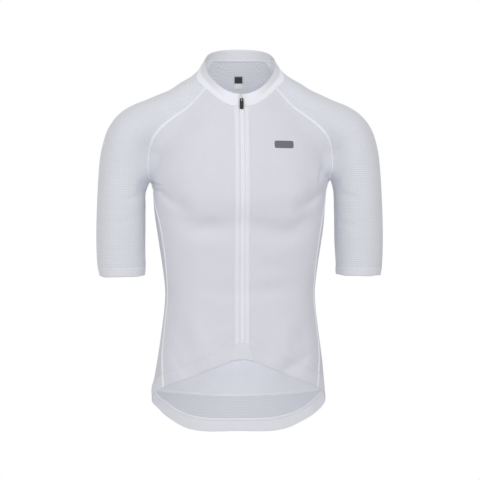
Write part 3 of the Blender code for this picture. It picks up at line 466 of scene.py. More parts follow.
def walked(ring, rows, columns, neighbours):
    """The grid of point numbers whose border is ring, or None if the points don't lie so."""
    numbers = -np.ones((rows, columns), int)
    numbers[0] = ring[:columns]
    numbers[1:, -1] = ring[columns:columns + rows - 1]
    numbers[-1, -2::-1] = ring[columns + rows - 1:2 * columns + rows - 2]
    numbers[-2:0:-1, 0] = ring[2 * columns + rows - 2:]
    used = set(ring)
    for i in range(1, rows):
        for j in range(1, columns):
            if numbers[i, j] < 0:
                free = (neighbours[numbers[i - 1, j]] & neighbours[numbers[i, j - 1]]) - used
                if len(free) != 1:
                    return None
                numbers[i, j] = free.pop()
                used.add(numbers[i, j])
    pairs = [*zip(numbers[:, :-1].flat, numbers[:, 1:].flat), *zip(numbers[:-1].flat, numbers[1:].flat)]
    return numbers if all(j in neighbours[i] for i, j in pairs) else None


def span(grid, axis):
    """The mean distance between neighbours along an axis of the grid."""
    return np.linalg.norm(np.diff(grid, axis=axis), axis=-1).mean()


def grid_skew(grid):
    """How far a grid's cells are from right-angled, on average."""
    across, up = np.diff(grid, axis=1)[:-1], np.diff(grid, axis=0)[:, :-1]
    return float(np.abs(np.sum(unit(across) * unit(up), axis=-1)).mean())


def grid_normals(grid):
    return unit(np.cross(np.gradient(grid, axis=1), np.gradient(grid, axis=0)))


def cuff_grid(side_name):
    """Rings that carry the sleeve's last rows on to the end of its cuff."""
    sleeve = GRIDS["sleeve_" + side_name]
    low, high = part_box("cuff_" + side_name)
    step = sleeve[0] - sleeve[1]
    step = step / -step[:, 2:]
    return np.stack([sleeve[0] - step * (z - high.z) for z in np.linspace(low.z, high.z, 3)])


# -------------------- smoothing
def tangents(grid, slopes, lengths):
    """Slopes along axis 0 into and out of each point; a sharp corner on an edge keeps both its own."""
    inner = (slopes[:-1] * lengths[1:] + slopes[1:] * lengths[:-1]) / (lengths[1:] + lengths[:-1])
    leaving = np.empty_like(grid)
    leaving[1:-1] = inner
    leaving[0] = slopes[0] if len(inner) == 0 else (3 * slopes[0] - inner[0]) / 2
    leaving[-1] = slopes[-1] if len(inner) == 0 else (3 * slopes[-1] - inner[-1]) / 2
    arriving = leaving.copy()
    turn = np.arccos(np.clip(np.sum(slopes[:-1] * slopes[1:], axis=-1), -1, 1))
    sharp = np.zeros(grid.shape[:2], bool)
    sharp[1:-1] = turn > KINK
    sharp[:, 1:-1] = False
    arriving[1:][sharp[1:]] = slopes[sharp[1:]]
    leaving[:-1][sharp[:-1]] = slopes[sharp[:-1]]
    return arriving, leaving


def finer(grid, cell):
    """The grid with smooth points put in along axis 0, no more than cell apart."""
    runs = np.diff(grid, axis=0)
    lengths = np.maximum(np.linalg.norm(runs, axis=-1, keepdims=True), 1e-9)
    arriving, leaving = tangents(grid, runs / lengths, lengths)
    rows = []
    for i in range(len(runs)):
        count = max(1, math.ceil(float(np.percentile(lengths[i], CELL_PERCENT)) / cell))
        for t in np.arange(count) / count:
            rows.append(
                (2 * t**3 - 3 * t**2 + 1) * grid[i] + (t**3 - 2 * t**2 + t) * lengths[i] * leaving[i]
                + (3 * t**2 - 2 * t**3) * grid[i + 1] + (t**3 - t**2) * lengths[i] * arriving[i + 1]
            )
    rows.append(grid[-1])
    return np.stack(rows)


def smoothed(grid, cell=CELL):
    return finer(finer(grid, cell).swapaxes(0, 1), cell).swapaxes(0, 1)


def arc_lengths(grid):
    """Places on the cloth in metres: across from the middle column, and up from the first row."""
    across = np.linalg.norm(np.diff(grid, axis=1), axis=-1)
    up = np.linalg.norm(np.diff(grid, axis=0), axis=-1)
    u = np.concatenate([np.zeros((len(grid), 1)), np.cumsum(across, axis=1)], axis=1)
    u -= u[:, u.shape[1] // 2][:, None]
    v = np.concatenate([np.zeros((1, grid.shape[1])), np.cumsum(up, axis=0)], axis=0)
    return np.stack([u, v], axis=-1)


# -------------------- creases
def crease_line(start, middle, end):
    """Points along a crease: a gentle curve from its start to its end that passes near its middle."""
    share = np.linspace(0, 1, CREASE_POINTS)[:, None]
    bent = 2 * middle - (start + end) / 2
    return start * (1 - share) ** 2 + bent * 2 * share * (1 - share) + end * share**2


def crease_height(points):
    """How far the creases push the cloth out, or in, at each point."""
    flat = points.reshape(-1, 3)
    front_view = flat[:, [0, 2]]
    height = np.zeros(len(flat))
    for side, *sizes in CREASES:
        sizes = np.array(sizes) / 1000
        line = crease_line(*sizes[:6].reshape(3, 2))
        width, rise = sizes[6:]
        low, high = line.min(axis=0) - CREASE_REACH * width, line.max(axis=0) + CREASE_REACH * width
        near = np.flatnonzero(((front_view > low) & (front_view < high)).all(axis=1))
        _, away, along = from_line(line, front_view[near])
        fade = np.clip(np.minimum(along, 1 - along) / CREASE_FADE, 0, 1)
        fade = CREASE_END + (1 - CREASE_END) * fade * fade * (3 - 2 * fade)
        on_side = 1 / (1 + np.exp(-side * flat[near, 1] / SIDE_FADE))
        height[near] += rise * np.exp(-((away / width) ** 2)) * fade * on_side
    return height.reshape(points.shape[:-1])


def shifted(points):
    """The points after the soft shifts."""
    moved = points.copy()
    for x, z, reach_x, reach_z, across, up in np.array(SHIFTS) / 1000:
        far = ((points[..., 0] - x) / reach_x) ** 2 + ((points[..., 2] - z) / reach_z) ** 2
        moved[..., 0] += across * np.exp(-far)
        moved[..., 2] += up * np.exp(-far)
    return moved


def dressed_grid(grid):
    """The smooth, shifted and creased outer face that a piece's cloth is made on."""
    fine = shifted(smoothed(grid))
    return fine + grid_normals(fine) * crease_height(fine)[..., None]


# -------------------- lines on the cloth
def from_edge(grid, edge):
    """The same grid turned round so that its first row is that edge."""
    turned = grid.swapaxes(0, 1) if edge in ("left", "right") else grid
    return turned[::-1] if edge in ("top", "right") else turned


def inset_line(grid, edge, distance=0.0):
    """The line on a grid that runs beside one of its edges, with its normals."""
    turned, faces = from_edge(grid, edge), from_edge(grid_normals(grid), edge)
    points, out = [], []
    for j in range(turned.shape[1]):
        far = lengths_along(turned[:, j])
        points.append([np.interp(distance, far, turned[:, j, k]) for k in range(3)])
        out.append([np.interp(distance, far, faces[:, j, k]) for k in range(3)])
    return np.array(points), unit(np.array(out))


def at_x(grid, x):
    """The line up a grid at one x, with its normals."""
    line, out = [], []
    for row, facing in zip(grid, grid_normals(grid)):
        order = np.argsort(row[:, 0])
        line.append([np.interp(x, row[order, 0], row[order, k]) for k in range(3)])
        out.append([np.interp(x, row[order, 0], facing[order, k]) for k in range(3)])
    return np.array(line), np.array(out)


def beside(line, normals, shift):
    """The line moved sideways over the cloth. shift may be a list."""
    across = unit(np.cross(normals, np.gradient(line, axis=0)))
    return line + across * np.broadcast_to(shift, (len(line),))[:, None]


def from_inside(line, normals, depth=0.0):
    """The line on the cloth's other face, depth below, with the normals there."""
    return (line - normals * depth)[::-1], -normals[::-1]


def evenly(line, values, step):
    """The line and what goes with each of its points, at equal steps along it."""
    lengths = lengths_along(line)
    places = np.linspace(0, lengths[-1], max(2, int(round(lengths[-1] / step)) + 1))
    return tuple(
        np.stack([np.interp(places, lengths, each[:, k]) for k in range(each.shape[1])], axis=1)
        for each in (line, values)
    )


# -------------------- shells, strips and stitches
def add_to_scene(name, data):
    made = bpy.data.objects.new(name, data)
    bpy.context.scene.collection.objects.link(made)
    return made


def mesh_object(name, vertices, faces, materials, uv=None, slots=None):
    """An object from arrays. faces is a list of arrays, one for each number of corners."""
    mesh = bpy.data.meshes.new(name)
    mesh.from_pydata(vertices, [], [face for group in faces for face in group.tolist()])
    mesh.shade_smooth()
    for material in materials:
        mesh.materials.append(material)
    if slots is not None:
        mesh.polygons.foreach_set("material_index", slots)
    if uv is not None:
        corners = np.concatenate([group.reshape(-1) for group in faces])
        mesh.uv_layers.new(name=CLOTH_UV).data.foreach_set("uv", uv[corners].reshape(-1))
    mesh.validate()
    return add_to_scene(name, mesh)


def rim_of(number):
    """The points round a grid's edge, of its numbered points."""
    return np.concatenate([number[0], number[1:, -1], number[-1, -2::-1], number[-2:0:-1, 0]])


def shell(name, grid, thickness, materials, lift=0.0):
    """A thin closed cloth whose outer face is the grid lifted along its normals.

    The first material is the outside's and the rim's, and the last the inside's.
    """
    normals = grid_normals(grid)
    outer = grid + normals * lift
    inner = outer - normals * thickness
    number = numbered(*grid.shape[:2])
    quads, rim, behind = quads_of(number), rim_of(number), number.size
    out = np.zeros_like(grid)
    for edge in ("bottom", "top", "left", "right"):
        turned = from_edge(grid, edge)
        from_edge(out, edge)[0] += turned[0] - turned[1]
    bulge = ((outer + inner) / 2 + unit(out) * thickness * RIM_BULGE).reshape(-1, 3)[rim]
    around = 2 * behind + np.arange(len(rim))
    ahead, around_ahead = np.roll(rim, -1), np.roll(around, -1)
    edge_out = np.stack([ahead, rim, around, around_ahead], axis=-1)
    edge_in = np.stack([around_ahead, around, rim + behind, ahead + behind], axis=-1)
    places = arc_lengths(grid).reshape(-1, 2)
    faces = np.concatenate([quads, quads[:, ::-1] + behind, edge_out, edge_in])
    slots = np.zeros(len(faces), np.int32)
    slots[len(quads):2 * len(quads)] = len(materials) - 1
    vertices = np.concatenate([outer.reshape(-1, 3), inner.reshape(-1, 3), bulge])
    return mesh_object(name, vertices, [faces], materials, places[np.r_[:behind, :behind, rim]], slots)


def loft(name, rings, material, uv=None, closed=False):
    """A skin over rings of points that turn anti-clockwise about the way they go."""
    number = numbered(*rings.shape[:2])
    around = np.concatenate([number, number[:1]]) if closed else number
    faces = [ring_quads(around)]
    if not closed:
        faces.append(np.stack([number[0][::-1], number[-1]]))
    return mesh_object(name, rings.reshape(-1, 3), faces, [material], uv)


def strip(name, line, normals, width, rise, material):
    """A flat, slightly domed tape along a line, standing rise proud of it. width may be a list."""
    across = unit(np.cross(normals, np.gradient(line, axis=0)))
    half = np.broadcast_to(width, (len(line),))[:, None, None] / 2
    side, height = np.array(STRIP_SECTION).T
    height = height * np.where(height > 0, rise, TAPE_EDGE_DEPTH)
    rings = (line[:, None] + across[:, None] * side[None, :, None] * half
             + normals[:, None] * height[None, :, None])
    across_tape, along_tape = side * float(np.max(width)) / 2, lengths_along(line)[:, None]
    uv = np.stack([np.broadcast_to(each, rings.shape[:2]) for each in (across_tape, along_tape)], axis=-1)
    return loft(name, rings, material, uv.reshape(-1, 2))


def stitch_shape():
    """One stitch lying along Y: its points, its four-cornered faces and those at its two ends."""
    angles = circle(STITCH_SIDES)
    rings = [
        np.stack([size * np.cos(angles), np.full(STITCH_SIDES, place), size * np.sin(angles)], axis=1)
        for place, size in STITCH_SHAPE
    ]
    points = np.concatenate([*rings, [(0, -0.5, 0), (0, 0.5, 0)]])
    number = numbered(len(rings), STITCH_SIDES)
    turned = np.roll(number, -1, axis=1)
    quads = ring_quads(number)[:, [1, 0, 3, 2]]
    low = np.stack([number[0], turned[0], np.full(STITCH_SIDES, number.size)], axis=1)
    high = np.stack([turned[-1], number[-1], np.full(STITCH_SIDES, number.size + 1)], axis=1)
    return points, quads, np.concatenate([low, high])


def stitches(name, lines, material, pitch=STITCH_PITCH, thread=THREAD, gap=STITCH_GAP, slant=0.0):
    """Rows of sewn stitches along lines given as points and normals."""
    shape, quads, ends = stitch_shape()
    points, faces, tips, total = [], [], [], 0
    for line, normals in lines:
        places, out = evenly(line, normals, pitch)
        middles, out = (places[:-1] + places[1:]) / 2, (out[:-1] + out[1:]) / 2
        lengths = np.linalg.norm(np.diff(places, axis=0), axis=1, keepdims=True)
        along = np.diff(places, axis=0) / lengths
        along = along * math.cos(slant) + unit(np.cross(out, along)) * math.sin(slant)
        across = np.cross(out, along)
        out = unit(np.cross(along, across))
        made = (
            (middles + out * thread * THREAD_LIFT)[:, None]
            + across[:, None] * shape[None, :, 0:1] * thread / 2
            + along[:, None] * shape[None, :, 1:2] * lengths[:, None] * (1 - gap)
            + out[:, None] * shape[None, :, 2:3] * thread / 2
        )
        offsets = (total + np.arange(len(middles)) * len(shape))[:, None, None]
        points.append(made.reshape(-1, 3))
        faces.append((quads[None] + offsets).reshape(-1, 4))
        tips.append((ends[None] + offsets).reshape(-1, 3))
        total += made.shape[0] * made.shape[1]
    return mesh_object(name, np.concatenate(points), [np.concatenate(faces), np.concatenate(tips)],
                       [material])


# -------------------- places on the cloth
def surface(*grids):
    """A tree of the grids' faces, for finding places on them."""
    vertices, faces = [], []
    for grid in grids:
        faces += quads_of(numbered(*grid.shape[:2], len(vertices))).tolist()
        vertices += grid.reshape(-1, 3).tolist()
    return BVHTree.FromPolygons(vertices, faces)


def seen_from_front(tree, x, z):
    """The places on a surface behind points of the front view. Over a gap the nearest cloth is taken."""
    places = []
    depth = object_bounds()[0][1]
    for a, b in zip(x.flat, z.flat):
        hit = tree.ray_cast(Vector((a, -1.0, b)), Vector((0, 1, 0)))[0]
        if hit is None:
            hit = tree.find_nearest(Vector((a, depth, b)))[0]
        depth = hit.y
        places.append((a, depth, b))
    return np.array(places).reshape(*x.shape, 3)


def laid_on(tree, points):
    """The nearest places on a surface, with their normals."""
    found = [tree.find_nearest(Vector(p)) for p in points.reshape(-1, 3)]
    return tuple(np.array([tuple(hit[k]) for hit in found]).reshape(points.shape) for k in (0, 1))


def patch(name, tree, low, high, half_widths, middle, thickness, lift, material):
    """A thin piece with rounded corners between two lines, laid on the cloth from the front."""
    rows = crowded_ends(PATCH_ROWS)
    height = abs(np.interp(middle, high[:, 0], high[:, 2]) - np.interp(middle, low[:, 0], low[:, 2]))
    half = np.interp(rows, [0, 1], half_widths) - rounding(rows * height, (0, height), PATCH_CORNER)
    x = middle + half[:, None] * np.linspace(-1, 1, PATCH_COLUMNS)[None, :]
    bottom, top = np.interp(x, low[:, 0], low[:, 2]), np.interp(x, high[:, 0], high[:, 2])
    places = seen_from_front(tree, x, bottom + (top - bottom) * rows[:, None])
    return shell(name, places, thickness, [material], lift)


def crowded_ends(count):
    """Shares from 0 to 1 that lie closer together near both."""
    return (1 - np.cos(np.linspace(0, math.pi, count))) / 2


def rounding(places, ends, radius):
    """How much a form that ends at those places is cut there for its round edge."""
    edge = np.minimum(places - ends[0], ends[1] - places)
    inside = np.clip(radius - edge, 0, radius)
    return radius - np.sqrt(radius**2 - inside**2)


# -------------------- materials
class Nodes:
    """A material's node tree, with short calls for what the knits need."""

    def __init__(self, name, colour, roughness, metallic=0.0, sheen=0.0, coat=0.0):
        self.material = bpy.data.materials.new(name)
        self.material.use_nodes = True
        self.tree = self.material.node_tree
        self.shader = self.tree.nodes["Principled BSDF"]
        self.colour = colour
        values = {"Base Color": (*colour, 1.0), "Roughness": roughness, "Metallic": metallic,
                  "Sheen Weight": sheen, "Sheen Roughness": 0.6, "Coat Weight": coat}
        for socket, value in values.items():
            self.shader.inputs[socket].default_value = value

    def node(self, kind, **inputs):
        made = self.tree.nodes.new(kind)
        for name, value in inputs.items():
            self.give(made.inputs[name.replace("_", " ")], value)
        return made

    def give(self, socket, value):
        if isinstance(value, bpy.types.NodeSocket):
            self.tree.links.new(value, socket)
        else:
            socket.default_value = value

    def math(self, operation, *values):
        made = self.tree.nodes.new("ShaderNodeMath")
        made.operation = operation
        for socket, value in zip(made.inputs, values):
            self.give(socket, value)
        return made.outputs[0]

    def scaled(self, value, factor, offset=0.0):
        return self.math("MULTIPLY_ADD", value, factor, offset)

    def blend(self, first, second, share):
        """share of the first and the rest of the second."""
        return self.math("MULTIPLY_ADD", first, share, self.math("MULTIPLY", second, 1 - share))

    def wave(self, place, period, shift=0.0):
        """A cosine from 0 to 1 along a place in metres."""
        turned = self.math("MULTIPLY_ADD", place, 2 * math.pi / period, shift)
        return self.scaled(self.math("COSINE", turned), 0.5, 0.5)

    def cloth_place(self):
        """Places across and along the cloth, in metres."""
        uv = self.tree.nodes.new("ShaderNodeUVMap")
        uv.uv_map = CLOTH_UV
        split = self.node("ShaderNodeSeparateXYZ", Vector=uv.outputs[0])
        return split.outputs[0], split.outputs[1]

    def object_place(self):
        return self.tree.nodes.new("ShaderNodeTexCoord").outputs["Object"]

    def noise(self, scale):
        """Soft noise from 0 to 1, with scale spots a metre."""
        made = self.node("ShaderNodeTexNoise", Vector=self.object_place(), Scale=scale, Detail=2.0)
        return made.outputs["Fac"]

    def strong_noise(self, scale, strength):
        return self.math("MULTIPLY", self.noise(scale), strength)

    def point_value(self, name):
        """A value that the mesh holds for each of its points."""
        made = self.tree.nodes.new("ShaderNodeAttribute")
        made.attribute_name = name
        return made.outputs["Fac"]

    def tint(self, *parts):
        """The colour, made lighter and darker by parts of (factor from 0 to 1, share)."""
        total = None
        for factor, share in parts:
            term = self.scaled(factor, share, 1 - share / 2)
            total = term if total is None else self.math("MULTIPLY", total, term)
        made = self.tree.nodes.new("ShaderNodeVectorMath")
        made.operation = "SCALE"
        made.inputs[0].default_value = self.colour
        self.give(made.inputs["Scale"], total)
        self.give(self.shader.inputs["Base Color"], made.outputs[0])

    def bump(self, height, distance, strength=0.6):
        made = self.node("ShaderNodeBump", Height=height, Distance=distance, Strength=strength)
        self.give(self.shader.inputs["Normal"], made.outputs[0])


# Lengths of the patterns in metres, depths of the bumps, and scales and strengths of the noise in them.
KNIT_WALE, KNIT_COURSE, KNIT_DEPTH = 0.0011, 0.0009, 0.00012
KNIT_WALES = 0.7  # the share of the columns in a knit's relief, beside its loops
KNIT_NOISES = (16.0, 70.0)  # spots a metre, the second at half the strength
RIB_PERIOD, RIB_DEPTH, RIB_PAINTED_SHADE = 0.0042, 0.00035, 0.16
RIB_WANDER, RIB_WAVER = (9.0, 6.0), (110.0, 2.6)
RIB_BREAK_PERIOD, RIB_BREAK_NOISE = 0.0058, (60.0, 9.0)
RIB_BREAK = 0.6  # how much of its height a rib loses where it breaks
RIB_PATCHES, RIB_PATCH_STRENGTH, RIB_PATCH_OFFSET, RIB_PATCH_LEAST = 20.0, 3.4, -0.9, 0.15
DIMPLE_CELL, DIMPLE_RANDOM = 0.0042, 0.45
ARM_RIBS, ARM_DIMPLES, SHOULDER_DIMPLES = 0.75, 0.25, 0.9  # the strengths of both, on arm and shoulder
MESH_MIDDLE, SHOULDER_CALM = 0.37, 0.1  # the relief's middle, and how much less of it the shoulder shows
SHOULDER_START, SHOULDER_BLEND = 0.300, 0.060  # up a sleeve's cloth, where its ribs turn into dimples
TWILL_PERIOD, TWILL_DEPTH, TWILL_PAINTED_SHADE = 0.0052, 0.0005, 0.14
TWILL_SLANT, TWILL_RIPPLE_PERIOD, TWILL_RIPPLE = 0.03, 0.0062, 3.2
FINE_SLANT, FINE_PERIOD, FINE_SHARE = -0.8, 0.0021, 0.22  # of the finer lines between
CALM_LEFT, CALM_PAINTED_LIGHT = 0.3, 0.10  # of the twill's contrast where it is doubled, and how much lighter it is painted there: painted light
MESH_NOISE = (14.0, 0.05)
WEAVE_PITCH, WEAVE_DEPTH, WEAVE_NOISE = 0.0007, 0.00012, (40.0, 0.04)
FINISHES = {
    # roughness, metallic, sheen, coat; the grain's scale, depth, strength; the tint's scale and share
    "thread": ((0.60, 0.0, 0.2, 0.0), None, (900.0, 0.12)),
    "print": ((0.55, 0.0, 0.0, 0.0), (1400.0, 0.00005, 0.5), (120.0, 0.10)),
    "rubber": ((0.50, 0.0, 0.0, 0.05), (2600.0, 0.00005, 0.4), (300.0, 0.30)),
    "metal": ((0.32, 1.0, 0.0, 0.0), (1800.0, 0.00003, 0.5), (220.0, 0.16)),
}


def knit(name, colour, variation=0.05, painted_shade=None):
    """Plain jersey knit: rows of V-shaped loops, too fine to see from afar.

    Its last argument names a value that makes it greyer where it is 1: painted shade, where less cloth
    lies behind it.
    """
    made = Nodes(name, COLOURS[colour], roughness=0.82, sheen=0.18)
    u, v = made.cloth_place()
    column = made.wave(u, KNIT_WALE)
    loops = made.wave(v, KNIT_COURSE, made.math("MULTIPLY", column, math.pi))
    made.bump(made.blend(column, loops, KNIT_WALES), KNIT_DEPTH)
    parts = [(made.noise(scale), variation / k) for k, scale in enumerate(KNIT_NOISES, 1)]
    # painted shade: greyer where that value is 1
    if painted_shade:
        parts.append((made.math("SUBTRACT", 1.0, made.point_value(painted_shade)), COLLAR_PAINTED_SHADE))
    made.tint(*parts)
    return made.material


def ribbed_mesh(name, colour):
    """Airy mesh: fine ribs across, which turn into staggered dimples over the shoulder."""
    made = Nodes(name, COLOURS[colour], roughness=0.85, sheen=0.18)
    u, v = made.cloth_place()
    drift = made.scaled(made.noise(RIB_WANDER[0]), RIB_WANDER[1], made.strong_noise(*RIB_WAVER))
    breaks = made.wave(u, RIB_BREAK_PERIOD, made.strong_noise(*RIB_BREAK_NOISE))
    rib = made.math("MULTIPLY", made.wave(v, RIB_PERIOD, drift),
                    made.scaled(breaks, RIB_BREAK, 1 - RIB_BREAK))
    cells = made.node("ShaderNodeTexVoronoi", Vector=made.object_place(), Scale=1 / DIMPLE_CELL,
                      Randomness=DIMPLE_RANDOM)
    dimple = made.math("MINIMUM", cells.outputs["Distance"], 1.0)
    shoulder = made.scaled(v, 1 / SHOULDER_BLEND, -SHOULDER_START / SHOULDER_BLEND)
    shoulder = made.math("MINIMUM", made.math("MAXIMUM", shoulder, 0.0), 1.0)
    arm = made.math("SUBTRACT", 1.0, shoulder)
    height = made.math("ADD", made.math("MULTIPLY", rib, made.scaled(arm, ARM_RIBS)),
                       made.math("MULTIPLY", dimple, made.scaled(shoulder, SHOULDER_DIMPLES, ARM_DIMPLES)))
    made.bump(height, RIB_DEPTH)
    patchy = made.scaled(made.noise(RIB_PATCHES), RIB_PATCH_STRENGTH, RIB_PATCH_OFFSET)
    strength = made.math("MULTIPLY", made.math("MAXIMUM", patchy, RIB_PATCH_LEAST),
                         made.scaled(shoulder, -SHOULDER_CALM, 1.0))
    # The colour follows the relief, darker in the ribs' grooves and the dimples: painted shade.
    shown = made.math("MULTIPLY_ADD", made.math("SUBTRACT", height, MESH_MIDDLE), strength, 0.5)
    made.tint((shown, RIB_PAINTED_SHADE), (made.noise(MESH_NOISE[0]), MESH_NOISE[1]))
    return made.material


def twill_mesh(name, colour, share=TWILL_PAINTED_SHADE, calm_and_painted_light=None):
    """Coarser mesh with wavy slanting lines. Its last argument names a value that smooths them where it is
    1 and paints the colour lighter there: painted light.
    """
    made = Nodes(name, COLOURS[colour], roughness=0.85, sheen=0.15)
    u, v = made.cloth_place()
    ripple = made.math("MULTIPLY", made.wave(u, TWILL_RIPPLE_PERIOD), TWILL_RIPPLE)
    line = made.wave(made.scaled(u, TWILL_SLANT, v), TWILL_PERIOD, ripple)
    fine = made.wave(made.scaled(u, FINE_SLANT, v), FINE_PERIOD)
    shown = made.blend(line, fine, 1 - FINE_SHARE)
    made.bump(shown, TWILL_DEPTH)
    parts = [(made.noise(MESH_NOISE[0]), MESH_NOISE[1])]
    if calm_and_painted_light:
        doubled_painted_light = made.point_value(calm_and_painted_light)
        keep = made.scaled(doubled_painted_light, CALM_LEFT - 1, 1.0)
        shown = made.math("MULTIPLY_ADD", made.math("SUBTRACT", shown, 0.5), keep, 0.5)
        parts.append((doubled_painted_light, CALM_PAINTED_LIGHT))
    # The colour follows the relief, darker along its low lines: painted shade.
    made.tint((shown, share), *parts)
    return made.material


def woven(name, colour, share=0.05):
    """Fine plain weave, for tapes and labels."""
    made = Nodes(name, COLOURS[colour], roughness=0.75, sheen=0.1)
    u, v = made.cloth_place()
    height = made.math("MULTIPLY", made.wave(u, WEAVE_PITCH), made.wave(v, WEAVE_PITCH))
    made.bump(height, WEAVE_DEPTH)
    # The colour follows the weave's relief, darker between the threads: painted shade.
    made.tint((height, share), (made.noise(WEAVE_NOISE[0]), WEAVE_NOISE[1]))
    return made.material


def finished(name, colour, kind):
    """A material without a weave, which one row of the finishes says."""
    shine, grain, (scale, share) = FINISHES[kind]
    made = Nodes(name, COLOURS[colour], *shine)
    if grain:
        made.bump(made.noise(grain[0]), *grain[1:])
    made.tint((made.noise(scale), share))
    return made.material


LOOKS = {
    "front": knit("front_knit", "front"),
    "placket": knit("placket_knit", "placket", variation=0.03),
    # the collar's colour carries painted shade, greyer where its point value is 1
    "collar": knit("collar_knit", "collar", variation=0.03, painted_shade="painted_shade"),
    "band": knit("band_knit", "band", variation=0.03),
    "pocket": knit("pocket_knit", "front"),
    "sleeve": ribbed_mesh("sleeve_mesh", "mesh"),
    "back": twill_mesh("back_mesh", "back"),
    # The insides are painted lighter than the outsides, for light shining through the cloth: painted
    # light.
    "inside": knit("inside_knit_painted_light", "inside"),
    "inside_band": knit("inside_band_knit_painted_light", "inside_band", variation=0.03),
    "inside_sleeve": ribbed_mesh("inside_sleeve_mesh_painted_light", "inside"),
    "inside_back": twill_mesh("inside_back_mesh_painted_light", "inside", share=0.20, calm_and_painted_light="doubled_painted_light"),
    "tape": woven("seam_tape", "tape"),
    "side_tape": woven("side_seam_tape", "side_tape"),
    "roll": woven("rolled_edge_painted_highlight", "roll"),
    "zip": woven("zip_weave", "tape"),
    "thread": finished("thread", "thread", "thread"),
    "label": woven("label_weave", "label", share=0.2),
    "tag": woven("tag_weave", "tag"),
    "grey": finished("grey_print", "grey", "print"),
    "cord": woven("zip_painted_shade_line", "cord"),
    "pull_metal": finished("pull_metal", "pull_metal", "metal"),
    "rubber": finished("pull_rubber", "rubber", "rubber"),
    "metal": finished("slider_metal", "metal", "metal"),
    "floor": finished("floor_paint", "floor", "print"),
}

# -------------------- panels
PANELS = [
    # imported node, thickness, slot, outside, inside, lift, edges that reach over the next panel
    ("front_left", KNIT, "front_knit", "front", "inside", 0.0, ()),
    ("front_right", KNIT, "front_knit", "front", "inside", 0.0, ()),
    ("placket_left", KNIT, "placket_knit", "placket", "inside", 0.0, ("left", "right")),
    ("placket_right", KNIT, "placket_knit", "placket", "inside", 0.0, ("left", "right")),
    ("zip_left", KNIT, "zip_tape", "zip", "inside_band", -TAPE_SINK, ("right",)),
    ("zip_right", KNIT, "zip_tape", "zip", "inside_band", -TAPE_SINK, ("left",)),
    ("back", KNIT, "back_mesh", "back", "inside_back", 0.0, ()),
    ("sleeve_left", KNIT, "sleeve_mesh", "sleeve", "inside_sleeve", 0.0, ()),
    ("sleeve_right", KNIT, "sleeve_mesh", "sleeve", "inside_sleeve", 0.0, ()),
    ("cuff_left", BAND, "band_knit", "band", "inside_band", 0.0004, ("top",)),
    ("cuff_right", BAND, "band_knit", "band", "inside_band", 0.0004, ("top",)),
    ("front_hem", BAND, "band_knit", "front", "inside_band", -0.0001, ("top",)),
    ("back_hem", BAND, "band_knit", "band", "inside_band", 0.0, ("top",)),
    ("collar", BAND, "band_knit", "collar", "inside_band", 0.0, ()),
]
SLOT_OF = {row[0]: row[2] for row in PANELS} | {"rear_pockets": "pocket_knit"}
GRIDS = {}
for panel, *_ in PANELS:
    GRIDS[panel] = cuff_grid(panel[5:]) if panel.startswith("cuff") else outer_grid(panel)
FINE = {panel: dressed_grid(grid) for panel, grid in GRIDS.items()}
PIECES = {}
TRIMS = defaultdict(list)


def reaching(grid, edges):
    """The grid with some of its edges carried on by a lap."""
    made = grid.copy()
    for edge in edges:
        turned = from_edge(made, edge)
        turned[0] += unit(turned[0] - turned[1]) * LAP
    return made


def place(piece, slot_name, body="jersey", instead_of=()):
    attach(piece, body)
    if instead_of:
        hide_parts(*instead_of)
    return piece


def sew_on(panel, piece):
    """Puts a trim on a panel and adds it to that panel's list of trims."""
    TRIMS[panel].append(place(piece, SLOT_OF[panel]))


for panel, thickness, slot_name, outside, inside, lift, edges in PANELS:
    looks = [LOOKS[outside], LOOKS[inside]]
    cloth = shell(panel + "_cloth", reaching(FINE[panel], edges), thickness, looks, lift)
    PIECES[panel] = place(cloth, slot_name, instead_of=(panel,))

# -------------------- seams
SIDES = ((1, "left"), (-1, "right"))


def widths_along(table, count):
    """Widths at count even places along a seam, from a table of share and width."""
    share, width = np.array(table).T
    return np.interp(np.linspace(0, 1, count), share, width)


def edge_and_corner(panel, edge, row):
    """An edge of a panel, with its normals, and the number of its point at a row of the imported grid."""
    line, normals = inset_line(FINE[panel], edge)
    corner = shifted(from_edge(GRIDS[panel], edge)[0, row])
    return line, normals, int(np.argmin(np.linalg.norm(line - corner, axis=1)))


def sew(name, panel, line, normals, width, rise, material="tape", inside=None):
    """A flat seam on a panel: its tape outside, and a narrower one inside at inside metres below."""
    sew_on(panel, strip(name, line, normals, width, rise, LOOKS[material]))
    if inside is not None:
        line, normals = from_inside(line, normals, inside)
        width = np.flip(np.atleast_1d(width)) * INSIDE_WIDTH
        sew_on(panel, strip(name + "_inside", line, normals, width, rise, LOOKS["inside_band"]))


def flat_stitches(name, panel, line, normals, width, rise):
    """The two rows of thread on a flat seam's tape."""
    lifted = line + normals * rise * SEAM_STITCH_LEVEL
    shifts = (-SEAM_STITCHES * width, SEAM_STITCHES * width)
    rows = [(beside(lifted, normals, shift), normals) for shift in shifts]
    sew_on(panel, stitches(name, rows, LOOKS["thread"]))


def mark_points(panel, name, marks):
    """A value for each point of a panel's grid, which its material reads by name."""
    on_rim = marks[rim_of(numbered(*FINE[panel].shape[:2]))]
    flag = PIECES[panel].data.attributes.new(name, "FLOAT", "POINT")
    flag.data.foreach_set("value", np.concatenate([marks, marks, on_rim]).astype(np.float32))


